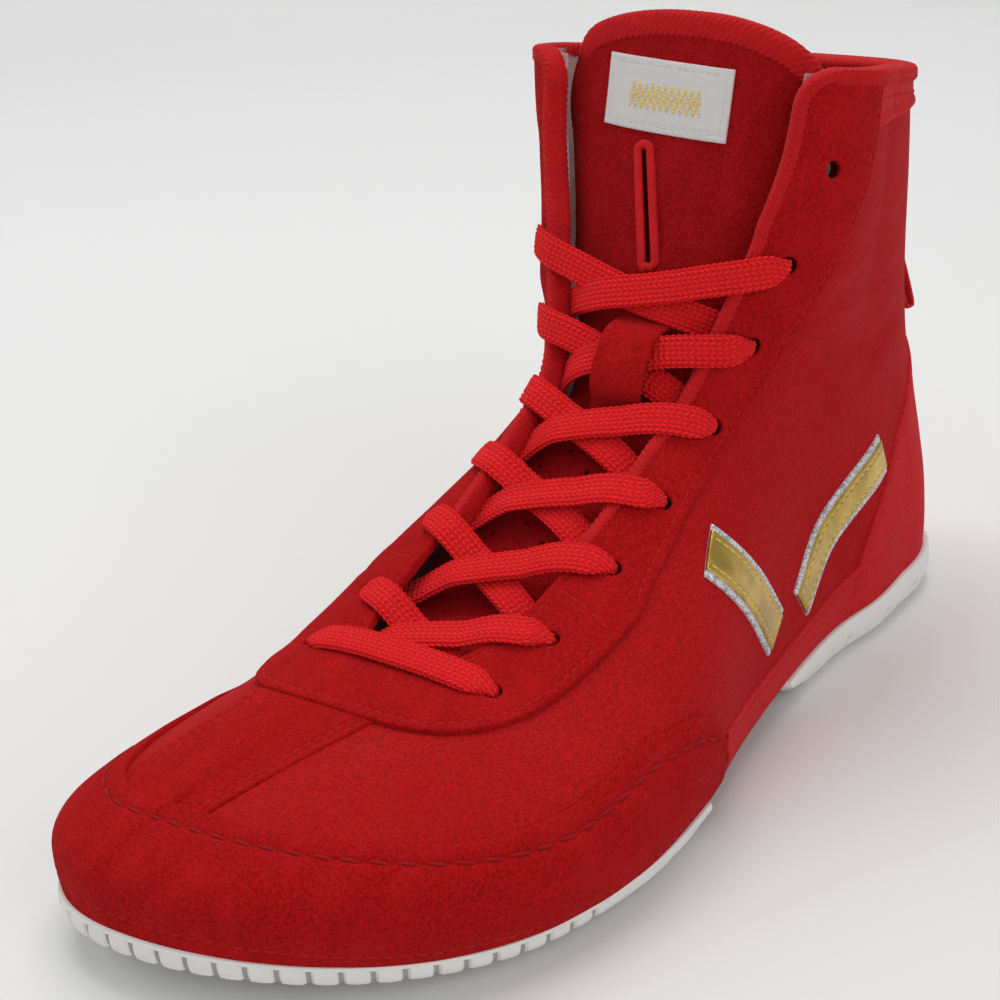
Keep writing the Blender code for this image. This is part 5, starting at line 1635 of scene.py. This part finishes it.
def build_sole():
    sole_unit("outsole_forefoot", q_at_t(FOREFOOT_END, 1), q_at_t(FOREFOOT_END, -1), -1.0, forefoot_ground,
              (188, 238), lambda t: (forefoot_wall(t), 9.5), forefoot_groove, forefoot_tread, "front")
    sole_unit("outsole_heel", q_at_t(HEEL_END, -1) - Q_END, q_at_t(HEEL_END, 1), 1.0, heel_ground,
              (32, 88), lambda t: (0.8 * (feather(t) - heel_ground(t)), 2.0), heel_groove, heel_tread, "root")

    rows, columns = 34, 60
    t = np.linspace(HEEL_END - 4, FOREFOOT_END + 4, rows)[:, None]
    lateral = np.array([rim(q_at_t(v, 1), 0.0)[0] for v in t[:, 0]])[:, None]
    medial = np.array([rim(q_at_t(v, -1), 0.0)[0] for v in t[:, 0]])[:, None]
    way = np.linspace(-1, 1, columns)[None]
    x = (lateral + medial) / 2 + (lateral - medial + 1.2) / 2 * np.sin(way * pi / 2)
    drop = 2.6 * (1 - np.abs(np.sin(way * pi / 2)) ** 9)
    z = feather(t) + 2.0 - drop - 1.5 * np.cos(way * pi / 2) ** 0.5
    outer = np.stack([x, t + 0 * x, z + 0.15 * np.sin(x / 5 + t / 7)], -1)
    inner = outer + np.array([0, 0, 1.2]) * (1 - np.abs(way[..., None]) ** 6)
    inner = inner - np.sign(way)[..., None] * np.array([0.8, 0, 0])
    uv = np.stack([t + 0 * x, x], -1)
    piece = shell("arch_underside", outer, inner, uv)
    dress(piece, HEEL_CLOTH, "root", "arch_underside")


def inner_plate(name, grow, low, high, look, crown=0.0):
    """A flat plate inside the sole's rim, between two heights over the feather line."""
    points, out, _ = rim_loop(0.0, Q_END, 0)
    points, out = points[:-1:2], out[:-1:2]
    t = points[:, 1]
    middle = spine(points, 40, 232)
    edge = points + out * grow
    rings = []
    for share, z in ((0.96, low), (0.5, low), (0.1, low), (0.02, low), (0.0, low + 0.3), (0.0, high - 0.6),
                     (0.01, high - 0.2), (0.035, high), (0.1, high + crown * 0.4), (0.3, high + crown * 0.9),
                     (0.6, high + crown), (0.96, high + crown)):
        flat = edge[:, :2] + (middle - edge[:, :2]) * share
        rings.append(np.column_stack([flat, feather(flat[:, 1]) + z]))
    piece = ring_solid(name, rings)
    dress(piece, look, "front", name)


def inflate(piece, voxel, pressure, cap):
    """Swells a closed pad with a short cloth simulation, each point moving at most cap mm."""
    mesh = piece.data
    remesh = piece.modifiers.new("Remesh", "REMESH")
    remesh.mode, remesh.voxel_size, remesh.use_smooth_shade = "VOXEL", voxel * MM, True
    even = modified(piece)
    piece.modifiers.clear()
    piece.data = even
    bpy.data.meshes.remove(mesh)
    rest = np.array([v.co for v in even.vertices])
    cloth = piece.modifiers.new("Cloth", "CLOTH")
    cloth.settings.use_pressure = True
    cloth.settings.uniform_pressure_force = pressure
    cloth.settings.effector_weights.gravity = 0
    cloth.settings.quality = 5
    cloth.point_cache.frame_end = 20
    for number in range(1, 21):
        bpy.context.scene.frame_set(number)
    swollen = modified(piece)
    moved = np.array([v.co for v in swollen.vertices]) - rest
    size = np.linalg.norm(moved, axis=1, keepdims=True)
    moved *= np.minimum(1, cap * MM / np.maximum(size, 1e-9))
    even.vertices.foreach_set("co", (rest + moved).astype(np.float32).ravel())
    piece.modifiers.clear()
    bpy.data.meshes.remove(swollen)
    bpy.context.scene.frame_set(1)
    smooth = piece.modifiers.new("Smooth", "SUBSURF")
    smooth.levels = smooth.render_levels = 1
    even.shade_smooth()


def build_insides():
    inner_plate("insole_board", -7.5, 1.0, 2.6, BOARD)
    inner_plate("sock_liner", -8.2, 3.0, 5.6, (SOCK, "lining_cloth"), 0.5)

    angle = np.linspace(0, 2 * pi, 72, endpoint=False)
    rings = []
    for grow, rise in ((0.5, 0.0), (0.97, 0.0), (1.0, 0.5), (1.0, 1.1), (0.95, 1.5), (0.5, 1.6)):
        t = 43 + 30 * grow * np.cos(angle)
        rings.append(np.stack([15 * grow * np.sin(angle), t, feather(t) + 6.6 + rise], -1))
    pad = ring_solid("heel_pad", rings)
    inflate(pad, 1.4, 3.0, 1.2)
    dress(pad, (SOCK, "inner_board"), "root", "heel_pad")

    whole = float(WRAP_W[-20, -1] - WRAP_W[-20, 0])
    foam_low = s_at_z(FOAM_LOW)

    def collar(f, c):
        return wrap(foam_low + (S_COLLAR - 2.5 - foam_low) * c, FOAM_EDGE + (whole - 2 * FOAM_EDGE) * f)
    pad, _ = panel("collar_foam", collar, (PLAIN,) * 4, *FOAM_LAYER, 3.0)
    inflate(pad, 1.6, 2.0, 0.5)
    dress(pad, FOAM, "shaft", "collar_foam")


# ---------------------------------------------------------------- everything
THREAD_LOOKS = {
    "gold": THREAD_GOLD,
    "tongue_zigzag": THREAD_GOLD,
    "tongue_label": THREAD_WHITE,
    "guard_rope": ROPE_RED,
}


def build_boot():
    build_quarters()
    build_toe()
    build_patch()
    build_eyestays()
    build_bindings()
    build_collar()
    build_heel()
    build_pull_tab()
    build_bands()
    build_tongue()
    build_slot()
    build_tongue_lining()
    build_tongue_binding()
    build_label()
    build_keeper()
    build_lace()
    build_sole()
    build_insides()
    for name, piece in gather_threads().items():
        kind, half = name.split("_stitches")
        way = {"": "tongue_top", "_front": "front", "_rear": "rear"}[half]
        dress(piece, THREAD_LOOKS.get(kind, THREAD_RED), way)


def build_stage():
    """A pale sheet that curves up behind the boot."""
    angle = np.linspace(0, pi / 2, 16)
    run, rise = 900.0, 420.0
    t = np.concatenate([[2600.0, 1200.0], -run - rise * np.sin(angle), [-run - rise]])
    z = np.concatenate([[0.0, 0.0], rise - rise * np.cos(angle), [2600.0]])
    across_sheet = np.array([-3000.0, 3000.0])
    grid = np.stack(np.broadcast_arrays(across_sheet[None], t[:, None], z[:, None]), -1)
    floor = make("floor", grid.reshape(-1, 3), grid_faces(len(t), 2), sharp=0)
    turn = np.radians(38)
    floor.matrix_world = Matrix.Rotation(turn, 4, "Z")
    paper = Look("paper", (0.80, 0.80, 0.785), 0.75)
    paper.bump(paper.noise(400, 2, 0.5), 0.02)
    floor.data.materials.append(paper.material)


def light(name, place, aim, size, power, colour=(1, 1, 1)):
    data = bpy.data.lights.new(name, "AREA")
    data.shape, data.size, data.energy, data.color = "DISK", size, power, colour
    lamp = bpy.data.objects.new(name, data)
    bpy.context.scene.collection.objects.link(lamp)
    lamp.location = place
    lamp.rotation_mode = "QUATERNION"
    lamp.rotation_quaternion = (Vector(aim) - Vector(place)).to_track_quat("-Z", "Y")


def build_lights():
    light("overhead", (-0.25, 0.15, 1.5), (0, -0.08, 0.05), 1.3, 11.5, (1, 0.99, 0.97))
    light("left", (-1.2, -0.7, 0.9), (0, -0.1, 0.08), 0.9, 3.4)
    light("right", (1.3, -0.5, 0.8), (0, -0.05, 0.08), 1.2, 5.0)
    backdrop = bpy.data.worlds.new("studio")
    backdrop.use_nodes = True
    shade = backdrop.node_tree.nodes["Background"]
    shade.inputs["Color"].default_value = (0.93, 0.95, 1.0, 1)
    shade.inputs["Strength"].default_value = 0.5
    bpy.context.scene.world = backdrop
    bpy.context.scene.view_settings.view_transform = "Standard"


def build_camera():
    azimuth, elevation, roll = np.radians([39.43, 22.34, -3.88])
    distance = 0.5277
    target = np.array([-0.0249, -0.1051, 0.0592])
    flat = np.cos(elevation)
    back = np.array([np.sin(azimuth) * flat, -np.cos(azimuth) * flat, np.sin(elevation)])
    right = unit(np.cross(-back, (0, 0, 1)))
    up = np.cross(right, -back)
    right, up = np.cos(roll) * right + np.sin(roll) * up, np.cos(roll) * up - np.sin(roll) * right
    data = bpy.data.cameras.new("camera")
    data.sensor_width = 36
    data.lens = 36 * 2.138
    camera = bpy.data.objects.new("camera", data)
    bpy.context.scene.collection.objects.link(camera)
    turn = Matrix(np.stack([right, up, back], 1).tolist()).to_4x4()
    camera.matrix_world = Matrix.Translation((target + back * distance).tolist()) @ turn
    bpy.context.scene.camera = camera


build_boot()
build_stage()
build_lights()
build_camera()
